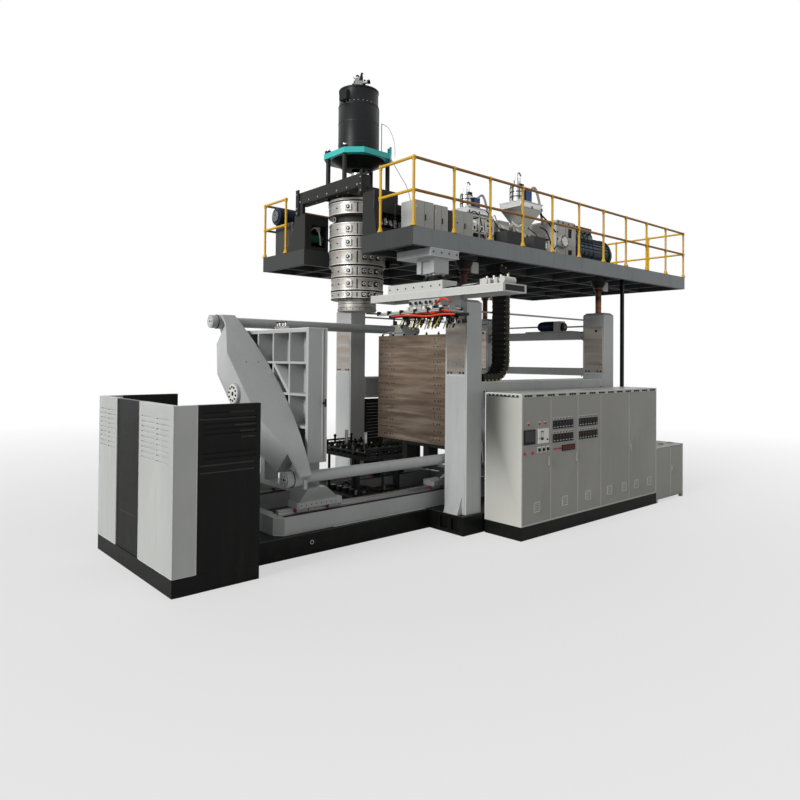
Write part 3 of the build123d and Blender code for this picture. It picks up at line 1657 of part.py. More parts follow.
def chain_link(x, z, angle, pitch):
    """One closed link from a joint point along an angle, tapered towards both joints."""
    half_length = (pitch - chain_gap) / 2
    half_height = chain_height / 2
    outline = [
        (-half_length, 0),
        (-chain_outer_half, -half_height),
        (chain_outer_half, -half_height),
        (half_length, 0),
        (chain_inner_half, half_height),
        (-chain_inner_half, half_height),
    ]
    link = prism_y(outline, -chain_half_width, chain_half_width)
    turn = math.radians(angle)
    middle_x = x + pitch / 2 * math.cos(turn)
    middle_z = z + pitch / 2 * math.sin(turn)
    return Pos(middle_x, chain_y, middle_z) * Rot(Y=-angle) * link


def energy_chain():
    """Links from the front beam up to the platform's underside."""
    lying = [0] * chain_flat_links + list(chain_lower_bend)
    hanging = [*chain_upper_bend, 180]
    bend_rise = sum(chain_pitch * math.sin(math.radians(angle)) for angle in lying + hanging)
    x = chain_start
    z = side_beam_top + touch_gap + chain_height / 2
    top = platform_bottom - touch_gap - chain_height / 2
    rise = top - z - bend_rise
    count = round(rise / chain_pitch)
    runs = [(angle, chain_pitch) for angle in lying]
    runs += [(90, rise / count)] * count
    runs += [(angle, chain_pitch) for angle in hanging]
    links = []
    for angle, pitch in runs:
        links.append(chain_link(x, z, angle, pitch))
        x += pitch * math.cos(math.radians(angle))
        z += pitch * math.sin(math.radians(angle))
    keep("energy_chain", *links)


# Small pieces at the right end and behind the clamp

def cable_post():
    """Slender cable duct that hangs from the platform's deck beside the cabinet."""
    keep("cable_post", block(
        post_x, post_x + post_side, post_y, post_y + post_side, post_low, platform_top - platform_deck,
    ))


def rear_louvre_panel():
    """Louvred guard sheet below the rear side beam."""
    panel_x0, panel_x1 = beam_left, beam_left + 1500
    panel = block(panel_x0, panel_x1, column_inner_y + 20, column_inner_y + 60, bed_height, 1940)
    for row in range(12):
        z = 1850 - row * 60
        panel -= block(panel_x0 + 60, panel_x1 - 60, column_inner_y + 19, column_inner_y + 34, z, z + 24)
    return panel


machine_bed()
column_base()
columns()
side_beams()
cross_beams()
lift_drive()
rail_frame()
linear_rails()
left_yoke()
tie_bars()
left_platen()
right_platen()
right_yoke()
carriages()
travel_cylinders()
guard()
cabinet()
doors()
push_buttons()
low_cabinet()
platform()
jack_screws()
handrails()
die_head()
mandrel()
crosshead()
cylinder_plate()
head_cylinder()
extruders()
platform_boxes()
robot()
robot_truck()
gripper()
blow_unit()
energy_chain()
cable_post()

os.makedirs("parts", exist_ok=True)
for piece_name, piece_shape in pieces.items():
    export_step(piece_shape, f"parts/{piece_name}.step")
print(len(pieces), "pieces written")
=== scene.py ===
import json
import math
import bmesh
import bpy
from mathutils import Matrix, Vector
from mathutils.bvhtree import BVHTree


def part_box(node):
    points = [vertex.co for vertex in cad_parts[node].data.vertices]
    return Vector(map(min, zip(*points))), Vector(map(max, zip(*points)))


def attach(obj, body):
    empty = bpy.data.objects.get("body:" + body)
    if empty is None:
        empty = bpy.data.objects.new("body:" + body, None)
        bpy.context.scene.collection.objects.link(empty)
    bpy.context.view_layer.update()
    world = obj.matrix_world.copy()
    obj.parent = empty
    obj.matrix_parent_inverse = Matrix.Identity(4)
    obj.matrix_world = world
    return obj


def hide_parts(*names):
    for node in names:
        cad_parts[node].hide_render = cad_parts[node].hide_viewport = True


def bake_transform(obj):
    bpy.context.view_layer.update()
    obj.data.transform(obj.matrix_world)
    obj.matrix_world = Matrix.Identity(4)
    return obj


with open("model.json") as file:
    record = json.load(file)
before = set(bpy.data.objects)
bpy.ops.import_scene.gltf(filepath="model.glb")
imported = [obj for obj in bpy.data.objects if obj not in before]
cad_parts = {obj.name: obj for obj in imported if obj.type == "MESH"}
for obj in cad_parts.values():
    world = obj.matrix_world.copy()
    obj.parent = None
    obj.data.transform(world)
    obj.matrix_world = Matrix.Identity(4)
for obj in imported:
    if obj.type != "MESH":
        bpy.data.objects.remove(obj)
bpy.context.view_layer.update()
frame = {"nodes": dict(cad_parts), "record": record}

mm = 0.001
nodes = frame["nodes"]
body_of_node = {n: body for body, names in frame["record"]["behaviour"]["bodies"].items() for n in names}
slot_of_node = {s["node"]: s["material_slot"] for s in frame["record"]["subparts"]}


def placed(name, data):
    """An object linked to the scene."""
    made = bpy.data.objects.new(name, data)
    bpy.context.scene.collection.objects.link(made)
    return made


# Camera at the photograph's place

yaw, pitch, roll = (math.radians(angle) for angle in (41.47, 0.84, 0.46))
ahead = Vector((math.sin(yaw) * math.cos(pitch), math.cos(yaw) * math.cos(pitch), math.sin(pitch)))
level_right = Vector((math.cos(yaw), -math.sin(yaw), 0))
level_up = level_right.cross(ahead)
right = level_right * math.cos(roll) + level_up * math.sin(roll)
up = level_up * math.cos(roll) - level_right * math.sin(roll)
camera_data = bpy.data.cameras.new("photo_camera")
camera_data.sensor_width = 36
camera_data.lens = 29.47
camera_data.shift_y = -0.0625
camera_data.clip_end = 200
camera = placed("photo_camera", camera_data)
aim = Matrix((right, up, -ahead)).transposed().to_4x4()
camera.matrix_world = Matrix.Translation((-6.669, -8.635, 2.700)) @ aim
bpy.context.scene.camera = camera
bpy.context.scene.view_settings.view_transform = "Standard"


# Shader groups

def new_group(name, inputs, outputs):
    """An empty shader group with float or colour sockets."""
    tree = bpy.data.node_groups.new(name, "ShaderNodeTree")
    kinds = {"c": "NodeSocketColor", "f": "NodeSocketFloat"}
    for label, kind, value in inputs:
        socket = tree.interface.new_socket(name=label, in_out="INPUT", socket_type=kinds[kind])
        socket.default_value = value
    for label, kind in outputs:
        tree.interface.new_socket(name=label, in_out="OUTPUT", socket_type=kinds[kind])
    return tree, tree.nodes.new("NodeGroupInput").outputs, tree.nodes.new("NodeGroupOutput")


def fill(tree, made, inputs):
    """Sets a node's inputs, by name or index; an output given as a value is linked."""
    for key, value in inputs.items():
        if isinstance(value, bpy.types.NodeSocket):
            tree.links.new(value, made.inputs[key])
        else:
            made.inputs[key].default_value = value


def node(tree, kind, inputs=None, **settings):
    """A node with some of its properties and inputs set."""
    made = tree.nodes.new(kind)
    for key, value in settings.items():
        setattr(made, key, value)
    fill(tree, made, inputs or {})
    return made


def object_place(tree):
    """Object coordinates, in metres."""
    return node(tree, "ShaderNodeTexCoord").outputs["Object"]


def stretched_noise(tree, scale, detail=4.0, rough=0.55):
    """Noise on object coordinates, stretched by a scale along each axis."""
    mapping = node(tree, "ShaderNodeMapping", {"Vector": object_place(tree), "Scale": scale})
    settings = {"Vector": mapping.outputs["Vector"], "Scale": 1.0, "Detail": detail, "Roughness": rough}
    return node(tree, "ShaderNodeTexNoise", settings).outputs["Fac"]


def fitted(tree, value, low, high, out_low=0.0, out_high=1.0):
    """A value mapped from one range to another, and held inside it."""
    ends = {"Value": value, "From Min": low, "From Max": high, "To Min": out_low, "To Max": out_high}
    return node(tree, "ShaderNodeMapRange", ends, clamp=True).outputs["Result"]


def blended(tree, mask, first, second, mode="MIX"):
    """Two colours mixed by a mask; each is a socket or a plain colour."""
    inputs = {0: mask, 6: first, 7: second}
    return node(tree, "ShaderNodeMix", inputs, data_type="RGBA", blend_type=mode).outputs[2]


def combined(tree, operation, first, second):
    """Math on two values; each is a socket or a number."""
    return node(tree, "ShaderNodeMath", {0: first, 1: second}, operation=operation).outputs[0]


def build_shop_paint():
    """Sprayed paint with faint tone changes, runs of dirt, dust near the floor and orange peel."""
    inputs = [("Color", "c", (0.6, 0.6, 0.58, 1)), ("Soil", "f", 0.5), ("Gloss", "f", 0.4)]
    outputs = [("Color", "c"), ("Roughness", "f"), ("Height", "f")]
    tree, given, end = new_group("shop_paint", inputs, outputs)
    tone = fitted(tree, stretched_noise(tree, (0.9, 0.9, 0.7)), 0.3, 0.7, 0.93, 1.05)
    toned = blended(tree, 1.0, given["Color"], tone, "MULTIPLY")
    runs = fitted(tree, stretched_noise(tree, (9.0, 9.0, 0.9), 5.0), 0.52, 0.78)
    spots = fitted(tree, stretched_noise(tree, (5.0, 5.0, 5.0), 8.0, 0.7), 0.55, 0.8)
    split = node(tree, "ShaderNodeSeparateXYZ", {0: object_place(tree)})
    low = fitted(tree, split.outputs["Z"], 0.0, 0.7, 1.0, 0.0)
    dust = combined(tree, "MULTIPLY", low, spots)
    dirt = combined(tree, "MAXIMUM", combined(tree, "MULTIPLY", runs, 0.35), dust)
    dirt = combined(tree, "MAXIMUM", dirt, combined(tree, "MULTIPLY", spots, 0.3))
    mask = combined(tree, "MULTIPLY", dirt, given["Soil"])
    rough = combined(tree, "ADD", given["Gloss"], combined(tree, "MULTIPLY", dirt, 0.25))
    rough = combined(tree, "ADD", rough, fitted(tree, spots, 0, 1, -0.03, 0.05))
    fill(tree, end, {
        "Color": blended(tree, mask, toned, (0.10, 0.085, 0.065, 1)),
        "Roughness": rough,
        "Height": stretched_noise(tree, (140, 140, 140), 2.0),
    })
    return tree


def build_cut_steel():
    """Bare steel with tool marks along one axis, stains and darker oil spots."""
    inputs = [
        ("Color", "c", (0.5, 0.5, 0.5, 1)), ("Stain", "c", (0.25, 0.18, 0.12, 1)), ("Stain amount", "f", 0.4),
    ]
    outputs = [("Color", "c"), ("Roughness", "f"), ("Height", "f")]
    tree, given, end = new_group("cut_steel", inputs, outputs)
    fine = stretched_noise(tree, (30, 30, 240), 3.0)
    broad = fitted(tree, stretched_noise(tree, (0.7, 0.7, 9.0), 6.0, 0.6), 0.38, 0.62)
    marks = fitted(tree, fine, 0.3, 0.7, 0.85, 1.1)
    cut = blended(tree, 1.0, given["Color"], marks, "MULTIPLY")
    mask = combined(tree, "MULTIPLY", broad, given["Stain amount"])
    fill(tree, end, {
        "Color": blended(tree, mask, cut, given["Stain"]),
        "Roughness": fitted(tree, combined(tree, "ADD", fine, broad), 0.4, 1.6, 0.25, 0.6),
        "Height": fine,
    })
    return tree


shop_paint = build_shop_paint()
cut_steel = build_cut_steel()


# Materials

def surface(name, group, values, metallic, bump, coat=0.0, shine=0.5):
    """A material whose colour, roughness and fine relief come from a group."""
    made = bpy.data.materials.new(name)
    made.use_nodes = True
    tree = made.node_tree
    given = node(tree, "ShaderNodeGroup", values, node_tree=group).outputs
    relief = node(tree, "ShaderNodeBump", {"Strength": bump, "Distance": 0.002, "Height": given["Height"]})
    fill(tree, tree.nodes["Principled BSDF"], {
        "Metallic": metallic, "Coat Weight": coat, "Specular IOR Level": shine,
        "Base Color": given["Color"], "Roughness": given["Roughness"], "Normal": relief.outputs["Normal"],
    })
    return made


def paint(name, colour, soil=0.4, gloss=0.4, coat=0.0):
    """Shop paint; a dark colour reflects less."""
    values = {"Color": (*colour, 1), "Soil": soil, "Gloss": gloss}
    return surface(name, shop_paint, values, 0.0, 0.12, coat, 0.15 if max(colour) < 0.1 else 0.4)


def bare_steel(name, colour, stain=(0.2, 0.15, 0.1), amount=0.3):
    """Cut or ground steel with some amount of stains."""
    values = {"Color": (*colour, 1), "Stain": (*stain, 1), "Stain amount": amount}
    return surface(name, cut_steel, values, 0.9, 0.25)


def plain(name, colour, rough=0.5, metallic=0.0, coat=0.0):
    """Moulded or small parts: the shop paint group with hardly any dirt."""
    values = {"Color": (*colour, 1), "Soil": 0.1, "Gloss": rough}
    return surface(name, shop_paint, values, metallic, 0.05, coat, 0.2 if max(colour) < 0.1 else 0.45)


finish = {
    "black_paint": paint("black_bed_paint", (0.006, 0.007, 0.006), 0.2, 0.42),
    "base_paint": paint("dark_unit_paint", (0.02, 0.02, 0.021), 0.3, 0.5),
    "machine_grey": paint("light_machine_grey", (0.42, 0.435, 0.43), 0.3, 0.38, 0.1),
    "casing_grey": paint("casing_grey_paint", (0.46, 0.47, 0.45), 0.25, 0.4),
    "deck_grey": paint("dark_deck_grey", (0.045, 0.048, 0.047), 0.5, 0.5),
    "rail_yellow": paint("handrail_yellow", (0.66, 0.37, 0.008), 0.45, 0.45),
    "rusty_steel": bare_steel("rusty_screw", (0.16, 0.07, 0.04), (0.05, 0.03, 0.025), 0.8),
    "machined_steel": bare_steel("milled_platen_face", (0.31, 0.245, 0.19), (0.12, 0.075, 0.045), 0.75),
    "ground_steel": bare_steel("ground_rail_steel", (0.5, 0.5, 0.5)),
    "heater_steel": bare_steel("heater_band_steel", (0.43, 0.42, 0.395), (0.2, 0.17, 0.13), 0.5),
    "hard_chrome": bare_steel("hard_chrome_bar", (0.62, 0.63, 0.63), (0.4, 0.4, 0.38), 0.2),
    "teal_paint": paint("teal_plate_paint", (0.03, 0.50, 0.47), 0.2, 0.35, 0.1),
    "robot_white": paint("robot_off_white", (0.55, 0.55, 0.52), 0.35, 0.4),
    "motor_blue": paint("motor_blue_grey", (0.028, 0.070, 0.095), 0.3, 0.35, 0.2),
    "hopper_steel": bare_steel("hopper_sheet", (0.6, 0.61, 0.6), (0.4, 0.38, 0.34), 0.3),
    "gear_plastic": plain("switchgear_plastic", (0.5, 0.5, 0.48), 0.5),
    "stop_red": plain("stop_button_red", (0.5, 0.012, 0.01), 0.3, 0, 0.3),
    "knob_black": plain("knob_black_plastic", (0.02, 0.02, 0.02), 0.35),
    "chain_black": plain("chain_black_plastic", (0.012, 0.012, 0.012), 0.5),
    "bright_steel": bare_steel("bright_guide_steel", (0.62, 0.62, 0.61)),
}


# Skins: copies of the frame's nodes with merged edges and small bevels

def soften(mesh, angle=35):
    """Smooth shading with sharp edges past an angle."""
    for face in mesh.polygons:
        face.use_smooth = True
    mesh.set_sharp_from_angle(angle=math.radians(angle))


def ease_edges(piece, width):
    """A small bevel on every sharp edge."""
    ease = piece.modifiers.new("eased_edges", "BEVEL")
    ease.width = width
    ease.segments = 2
    ease.limit_method = "ANGLE"
    ease.angle_limit = math.radians(50)
    ease.harden_normals = True


def cross_lift(piece):
    """Bakes the transform of a piece of the energy chain into its mesh, leaving it on no body."""
    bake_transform(piece)


def dressed(name, material, bevel):
    """A copy of a node with its loose triangles merged and its edges eased."""
    mesh = nodes[name].data.copy()
    work = bmesh.new()
    work.from_mesh(mesh)
    bmesh.ops.remove_doubles(work, verts=work.verts, dist=0.00002)
    bmesh.ops.dissolve_limit(work, angle_limit=math.radians(0.8), verts=work.verts, edges=work.edges)
    work.to_mesh(mesh)
    work.free()
    mesh.name = name + "_skin"
    mesh.materials.clear()
    mesh.materials.append(material)
    soften(mesh)
    piece = placed(name + "_skin", mesh)
    ease_edges(piece, bevel)
    if name == "energy_chain":
        cross_lift(piece)
    else:
        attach(piece, body_of_node[name])
    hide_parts(name)
    return piece


def tint(name, material, low, high):
    """Another material on the faces of a node whose centres lie in a box, in millimetres."""
    mesh = skins[name].data
    mesh.materials.append(material)
    index = len(mesh.materials) - 1
    for face in mesh.polygons:
        if all(a <= value / mm <= b for a, value, b in zip(low, face.center, high)):
            face.material_index = index


other_finish = {
    "crosshead_frame": paint("charcoal_frame_paint", (0.022, 0.022, 0.021), 0.3, 0.5),
    "head_cylinder": paint("black_cylinder_paint", (0.010, 0.011, 0.012), 0.15, 0.4),
    "cabinet_body": paint("cabinet_shell_grey", (0.50, 0.50, 0.46), 0.12, 0.4),
    "low_cabinet": paint("oil_cabinet_grey", (0.30, 0.30, 0.27), 0.3, 0.45),
    "low_cabinet_door": paint("oil_cabinet_door_grey", (0.30, 0.30, 0.27), 0.3, 0.45),
    "extruder_gearboxes": paint("gearbox_light_grey", (0.5, 0.5, 0.48), 0.3, 0.45),
    "cable_post": finish["black_paint"],
    "left_jaw": finish["base_paint"],
    "right_jaw": finish["base_paint"],
    "blow_table": finish["base_paint"],
    "tie_bars": paint("greased_tie_bar", (0.40, 0.41, 0.41), 0.4, 0.35),
}
door_grey = paint("cabinet_door_grey", (0.29, 0.288, 0.262), 0.15, 0.45)
small_nodes = ("stop_button", "emergency_button", "selector_knob_1", "selector_knob_2", "selector_knob_3")
skins = {}
for name in nodes:
    if name == "handrails":
        continue
    material = other_finish.get(name, finish[slot_of_node[name]])
    if name.startswith("cabinet_door"):
        material = door_grey
    skins[name] = dressed(name, material, 0.001 if name in small_nodes else 0.003)

dark_grey = paint("dark_skirt_paint", (0.05, 0.052, 0.053), 0.5, 0.5)
blue_box = paint("blue_blower_box", (0.012, 0.065, 0.26), 0.2, 0.4)
dark_blue = paint("dark_blue_motor", (0.015, 0.028, 0.05), 0.3, 0.4)
brushed = bare_steel("brushed_cover_panel", (0.45, 0.42, 0.38), (0.22, 0.15, 0.1), 0.45)
# Rust darkened as painted shade, for the jack screws' thread turns.
thread_shade_and_rust = bare_steel("thread_shade_rust", (0.06, 0.025, 0.015), (0.02, 0.012, 0.01), 0.8)
edge_grey = paint("platform_edge_grey", (0.20, 0.22, 0.22), 0.7, 0.5)
neck_black = paint("dark_neck_steel", (0.035, 0.033, 0.03), 0.5, 0.5)
far = 20000
tint("platform_boxes", dark_blue, (-far, 1560, 5110), (-100, far, far))
tint("platform_boxes", dark_grey, (555, -far, 0), (655, -1290, far))
tint("platform_boxes", dark_grey, (1870, -far, 0), (2960, -1300, far))
tint("platform_boxes", dark_grey, (-510, 1220, 4540), (-50, 1800, 5112))
tint("lift_drive", dark_blue, (4790, -485, 3330), (5030, -60, 3600))
tint("material_hoppers", blue_box, (3250, -970, 5661), (3450, -750, 5940))
tint("material_hoppers", blue_box, (3710, 750, 5911), (3910, 970, 6190))
tint("right_platen", dark_grey, (0, -far, 0), (far, far, 1238))
tint("right_platen", finish["machine_grey"], (1262, -far, 1239), (far, far, far))
front_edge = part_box("platform_frame")[0].y / mm
tint("platform_frame", edge_grey, (-far, front_edge - 3, 4290), (far, front_edge + 3, far))
# The neck between the rings and the top above them are darker.
tint("die_head", neck_black, (-far, -far, 4906), (far, far, 5020))
tint("die_head", neck_black, (-far, -far, 5298), (far, far, far))
for x0 in (830, 4740):
    tint("columns", brushed, (x0 - 9, -far, 2470), (x0 - 1, far, 3640))


# Kits of small pieces, in millimetres

class Kit:
    """Details of one material on one body, gathered in one mesh."""

    def __init__(self, name, body, slot, material, bevel):
        self.name, self.body, self.slot = name, body, slot
        self.material, self.bevel = material, bevel
        self.work = bmesh.new()
        self.parts = []

    def room(self):
        """Sets the gathered pieces aside now and then, because operators slow down on a large mesh."""
        if len(self.work.verts) > 1200:
            part = bpy.data.meshes.new("part")
            self.work.to_mesh(part)
            self.work.clear()
            self.parts.append(part)

    def box(self, x0, x1, y0, y1, z0, z1, turn=Matrix()):
        """A block between two corners, then turned."""
        low, high = Vector((x0, y0, z0)) * mm, Vector((x1, y1, z1)) * mm
        centre = (low + high) / 2
        size = Matrix.Diagonal((*(abs(reach) for reach in high - low), 1))
        self.room()
        bmesh.ops.create_cube(self.work, size=1, matrix=turn @ Matrix.Translation(centre) @ size)

    def rod(self, start, end, radius, tip=None, sides=16, turn=Matrix()):
        """A round bar or cone from one point to another."""
        start = Vector(start) * mm
        end = Vector(end) * mm
        aim = (end - start).to_track_quat("Z", "Y").to_matrix().to_4x4()
        self.room()
        bmesh.ops.create_cone(
            self.work, cap_ends=True, segments=sides, radius1=radius * mm,
            radius2=(radius if tip is None else tip) * mm, depth=(end - start).length,
            matrix=turn @ Matrix.Translation((start + end) / 2) @ aim,
        )

    def ball(self, centre, radius, sides=12):
        self.room()
        bmesh.ops.create_uvsphere(
            self.work, u_segments=sides, v_segments=sides // 2, radius=radius * mm,
            matrix=Matrix.Translation(Vector(centre) * mm),
        )

    def bolt(self, at, out, radius=12, height=9, turn=Matrix()):
        """A hexagon head on a surface."""
        end = Vector(at) + Vector(out).normalized() * height
        self.rod(at, end, radius, sides=6, turn=turn)

    def lathe(self, profile, centre=(0, 0), steps=72):
        """A closed outline of (radius, height) points turned about a vertical axis."""
        x, y = centre
        self.room()
        corners = [self.work.verts.new(((x + r) * mm, y * mm, z * mm)) for r, z in profile]
        edges = [self.work.edges.new(pair) for pair in zip(corners, corners[1:] + corners[:1])]
        bmesh.ops.spin(
            self.work, geom=corners + edges, cent=(x * mm, y * mm, 0), axis=(0, 0, 1),
            angle=math.tau, steps=steps, use_merge=True,
        )

    def band(self, radius, z0, z1, proud):
        """A ring round a vertical cylinder on the head's axis, sunk 4 mm into it."""
        inner, outer = radius - 4, radius + proud
        self.lathe([(inner, z0), (outer, z0), (outer, z1), (inner, z1)])

    def hose(self, points, radius):
        """A round line through points, with a smooth course between them and a ball at each bend."""
        course = smooth_course([Vector(p) for p in points], 5)
        for a, b in zip(course, course[1:]):
            self.rod(a, b, radius, sides=8)
        for p in course[1:-1]:
            self.ball(p, radius * 1.02, 8)

    def done(self):
        for part in self.parts:
            self.work.from_mesh(part)
            bpy.data.meshes.remove(part)
        bmesh.ops.recalc_face_normals(self.work, faces=self.work.faces)
        mesh = bpy.data.meshes.new(self.name)
        self.work.to_mesh(mesh)
        self.work.free()
        mesh.materials.append(self.material)
        soften(mesh, 40)
        piece = placed(self.name, mesh)
        if self.bevel:
            ease_edges(piece, self.bevel)
        if self.body == "chain":
            cross_lift(piece)
        else:
            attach(piece, self.body)
        return piece


def smooth_course(points, steps):
    """Points of a curve that passes through the given ones."""
    ends = [points[0] * 2 - points[1], *points, points[-1] * 2 - points[-2]]
    course = []
    for a, b, c, d in zip(ends, ends[1:], ends[2:], ends[3:]):
        for step in range(steps):
            t = step / steps
            course.append(0.5 * (
                2 * b + (c - a) * t + (2 * a - 5 * b + 4 * c - d) * t * t
                + (3 * b - a - 3 * c + d) * t ** 3
            ))
    course.append(points[-1])
    return course


def around(angle, axis="Z", at=(0, 0, 0)):
    """A turn in degrees about an axis through a point."""
    return Matrix.Translation(Vector(at) * mm) @ Matrix.Rotation(math.radians(angle), 4, axis)


def spread(low, high, count):
    """Evenly spaced values, both ends included."""
    step = (high - low) / (count - 1)
    return [low + step * index for index in range(count)]


def on_circle(count, radius, first=0):
    """Offsets evenly round a circle, from a first angle in degrees."""
    for step in range(count):
        angle = math.radians(first + step * 360 / count)
        yield radius * math.cos(angle), radius * math.sin(angle)


def stack(start, axis, *layers, sides=16, turn=Matrix()):
    """Round bars one after another along an axis; each is a kit, a radius and a length."""
    start = Vector(start)
    for made, radius, length in layers:
        end = start + axis * length
        made.rod(start, end, radius, sides=sides, turn=turn)
        start = end


to_x, to_y, to_z = Matrix.Identity(3)
kits = {}


def kit_bevel(body, look):
    """Thin trims, round tubes and the frame's and doors' smallest pieces have none."""
    if look == "edge":
        trim = body not in ("platform", "robot_arm")
    elif body == "frame":
        trim = look in ("black", "iron", "soot")
    else:
        trim = look in ("rail", "worn_rail") or (look == "grey" and body.startswith("door_"))
    return 0 if trim else 0.0008


def kit(body, look):
    if (body, look) not in kits:
        slot, material = looks[look]
        kits[body, look] = Kit(f"{body}_{look}_details", body, slot, material, kit_bevel(body, look))
    return kits[body, look]


def kits_on(body, *names):
    """Several kits of one body."""
    return [kit(body, name) for name in names]


looks = {
    "black": ("knob_black", plain("detail_black", (0.006, 0.006, 0.006), 0.5)),
    "iron": ("base_paint", plain("dark_iron", (0.03, 0.03, 0.032), 0.45, 0.3)),
    "steel": ("bright_steel", bare_steel("detail_bright_steel", (0.62, 0.62, 0.6))),
    "white": ("robot_white", plain("detail_white", (0.72, 0.72, 0.69), 0.45)),
    # edge: a light grey for light trim parts, and for thin lines along folds, seams and edges that are
    # painted highlights.
    "edge": ("machine_grey", plain("light_trim_and_painted_highlight", (0.62, 0.63, 0.61), 0.45)),
    "grey": ("machine_grey", plain("detail_grey", (0.3, 0.31, 0.3), 0.5)),
    # Faint grey: slot marks on the guard's dark wing, and lines along the black base's rims that are painted
    # highlights.
    "soot": ("base_paint", plain("slot_grey_and_painted_highlight", (0.06, 0.062, 0.06), 0.5)),
    "red": ("stop_red", plain("detail_red", (0.42, 0.008, 0.008), 0.35)),
    "line_red": ("stop_red", plain("red_air_line", (0.72, 0.05, 0.015), 0.4)),
    # A darker brown-yellow for the long side rails: painted shade, with heavy dirt.
    "worn_rail": ("rail_yellow", paint("dirty_shaded_rail_yellow", (0.30, 0.135, 0.012), 0.9, 0.5)),
    "yellow": ("rail_yellow", plain("chain_yellow", (0.55, 0.45, 0.07), 0.5)),
    "rail": ("rail_yellow", finish["rail_yellow"]),
    "glass": ("knob_black", plain("screen_glass", (0.045, 0.055, 0.05), 0.2)),
    "green": ("base_paint", plain("green_cylinder", (0.01, 0.09, 0.045), 0.35)),
    "teal": ("teal_paint", finish["teal_paint"]),
    "blue": ("motor_blue", dark_blue),
}


# Cabinet fronts

door_face = -2506
door_bottom, door_top = 234, 2137
door_seams = (1917, 2662, 3351, 4286)
cabinet_left, cabinet_right, cabinet_rear = 1185, 5290, -1790
low_cabinet_right = 6380


def on_front(made, x0, x1, z0, z1, proud, back=0):
    """A plate that stands proud of the cabinet's front."""
    made.box(x0, x1, door_face - proud, door_face - back, z0, z1)


def cabinet_lines():
    """Folds beside the door gaps and the roof's lip drawn as light lines, painted highlights, and the slots
    under the roof.
    """
    ends = (1205, *door_seams, 5270)
    for index, (x0, x1) in enumerate(zip(ends, ends[1:]), 1):
        fold_highlight = kit(f"door_{index}", "edge")
        for x in (x0 + 4, x1 - 9):
            on_front(fold_highlight, x, x + 5, door_bottom, door_top, 0.4)
    edge, black = kits_on("frame", "edge", "black")
    left = cabinet_left - 2
    on_front(edge, cabinet_left, cabinet_right, 2186, 2201, 2)
    on_front(edge, left, cabinet_left + 12, 210, 2186, 2)
    edge.box(left, cabinet_left, door_face, cabinet_rear, 2186, 2201)
    edge.box(left, cabinet_left, cabinet_rear - 14, cabinet_rear, 210, 2186)
    for x in spread(cabinet_left + 60, cabinet_right - 260, 14):
        for slot in (x + 8, x + 74, x + 140):
            on_front(black, slot, slot + 50, 2148, 2176, 0.8, -4)
    for y in spread(door_face + 60, cabinet_rear - 110, 8):
        black.box(cabinet_left - 0.8, cabinet_left + 2, y, y + 46, 2148, 2176)
    for x in (5862, low_cabinet_right - 25):
        on_front(edge, x - 5, x, 96, 1026, 1.2)
    on_front(edge, cabinet_right, low_cabinet_right, 1046, 1061, 2)
    for x, y in ((5500, -2230), (5880, -2300), (6080, -2050), (6250, -2300)):
        black.rod((x, y, 1060), (x, y, 1062), 52)
        edge.lathe([(52, 1060), (66, 1060), (66, 1072), (52, 1072)], (x, y), 24)


def vents():
    """Framed louvre inserts near the bottom of the doors."""
    places = {1: (1562,), 2: (2299,), 3: (2965,), 4: (3630, 4115), 5: (4535, 5013)}
    half, rim, level = 77, 9, 465
    for index, columns in places.items():
        edge, shade = kits_on(f"door_{index}", "edge", "grey")
        for x in columns:
            for z in (level - half, level + half - rim):
                on_front(edge, x - half, x + half, z, z + rim, 6, 2)
            for side in (x - half, x + half - rim):
                on_front(edge, side, side + rim, level - half, level + half, 6, 2)
            for z in range(level - 55, level + 65, 24):
                on_front(shade, x - 58, x + 58, z, z + 12, 0.6)
                on_front(edge, x - 60, x + 60, z + 13, z + 17, 7, 3)


def temperature_controllers():
    """Two rows of controllers on each of two doors, with lamps and name strips above, and a display."""
    for start, body in ((1972, "door_2"), (2690, "door_3")):
        black, white, red = kits_on(body, "black", "white", "red")
        for x in range(start, start + 7 * 80, 80):
            for z in (1649, 1436):
                on_front(black, x - 2, x + 64, z - 22, z + 108, 11)
                on_front(white, x + 10, x + 52, z + 2, z + 10, 12, 10.5)
                on_front(red, x + 18, x + 38, z + 70, z + 76, 12, 10.5)
                on_front(white, x + 11, x + 51, z + 120, z + 156, 1.5)
                on_front(black, x + 22, x + 40, z + 128, z + 146, 9)
    black, red = kits_on("door_2", "black", "red")
    on_front(black, 2213, 2567, 1263, 1357, 14)
    for x in range(2232, 2232 + 9 * 36, 36):
        for z in (1284, 1310, 1334):
            on_front(red, x, x + 18, z, z + 4, 15, 13.5)
        on_front(red, x + 16, x + 20, 1284, 1338, 15, 13.5)
    for x in (2010, 2070, 2130, 2180):
        stack((x, door_face, 1312), -to_y, (red, 14.5, 13))


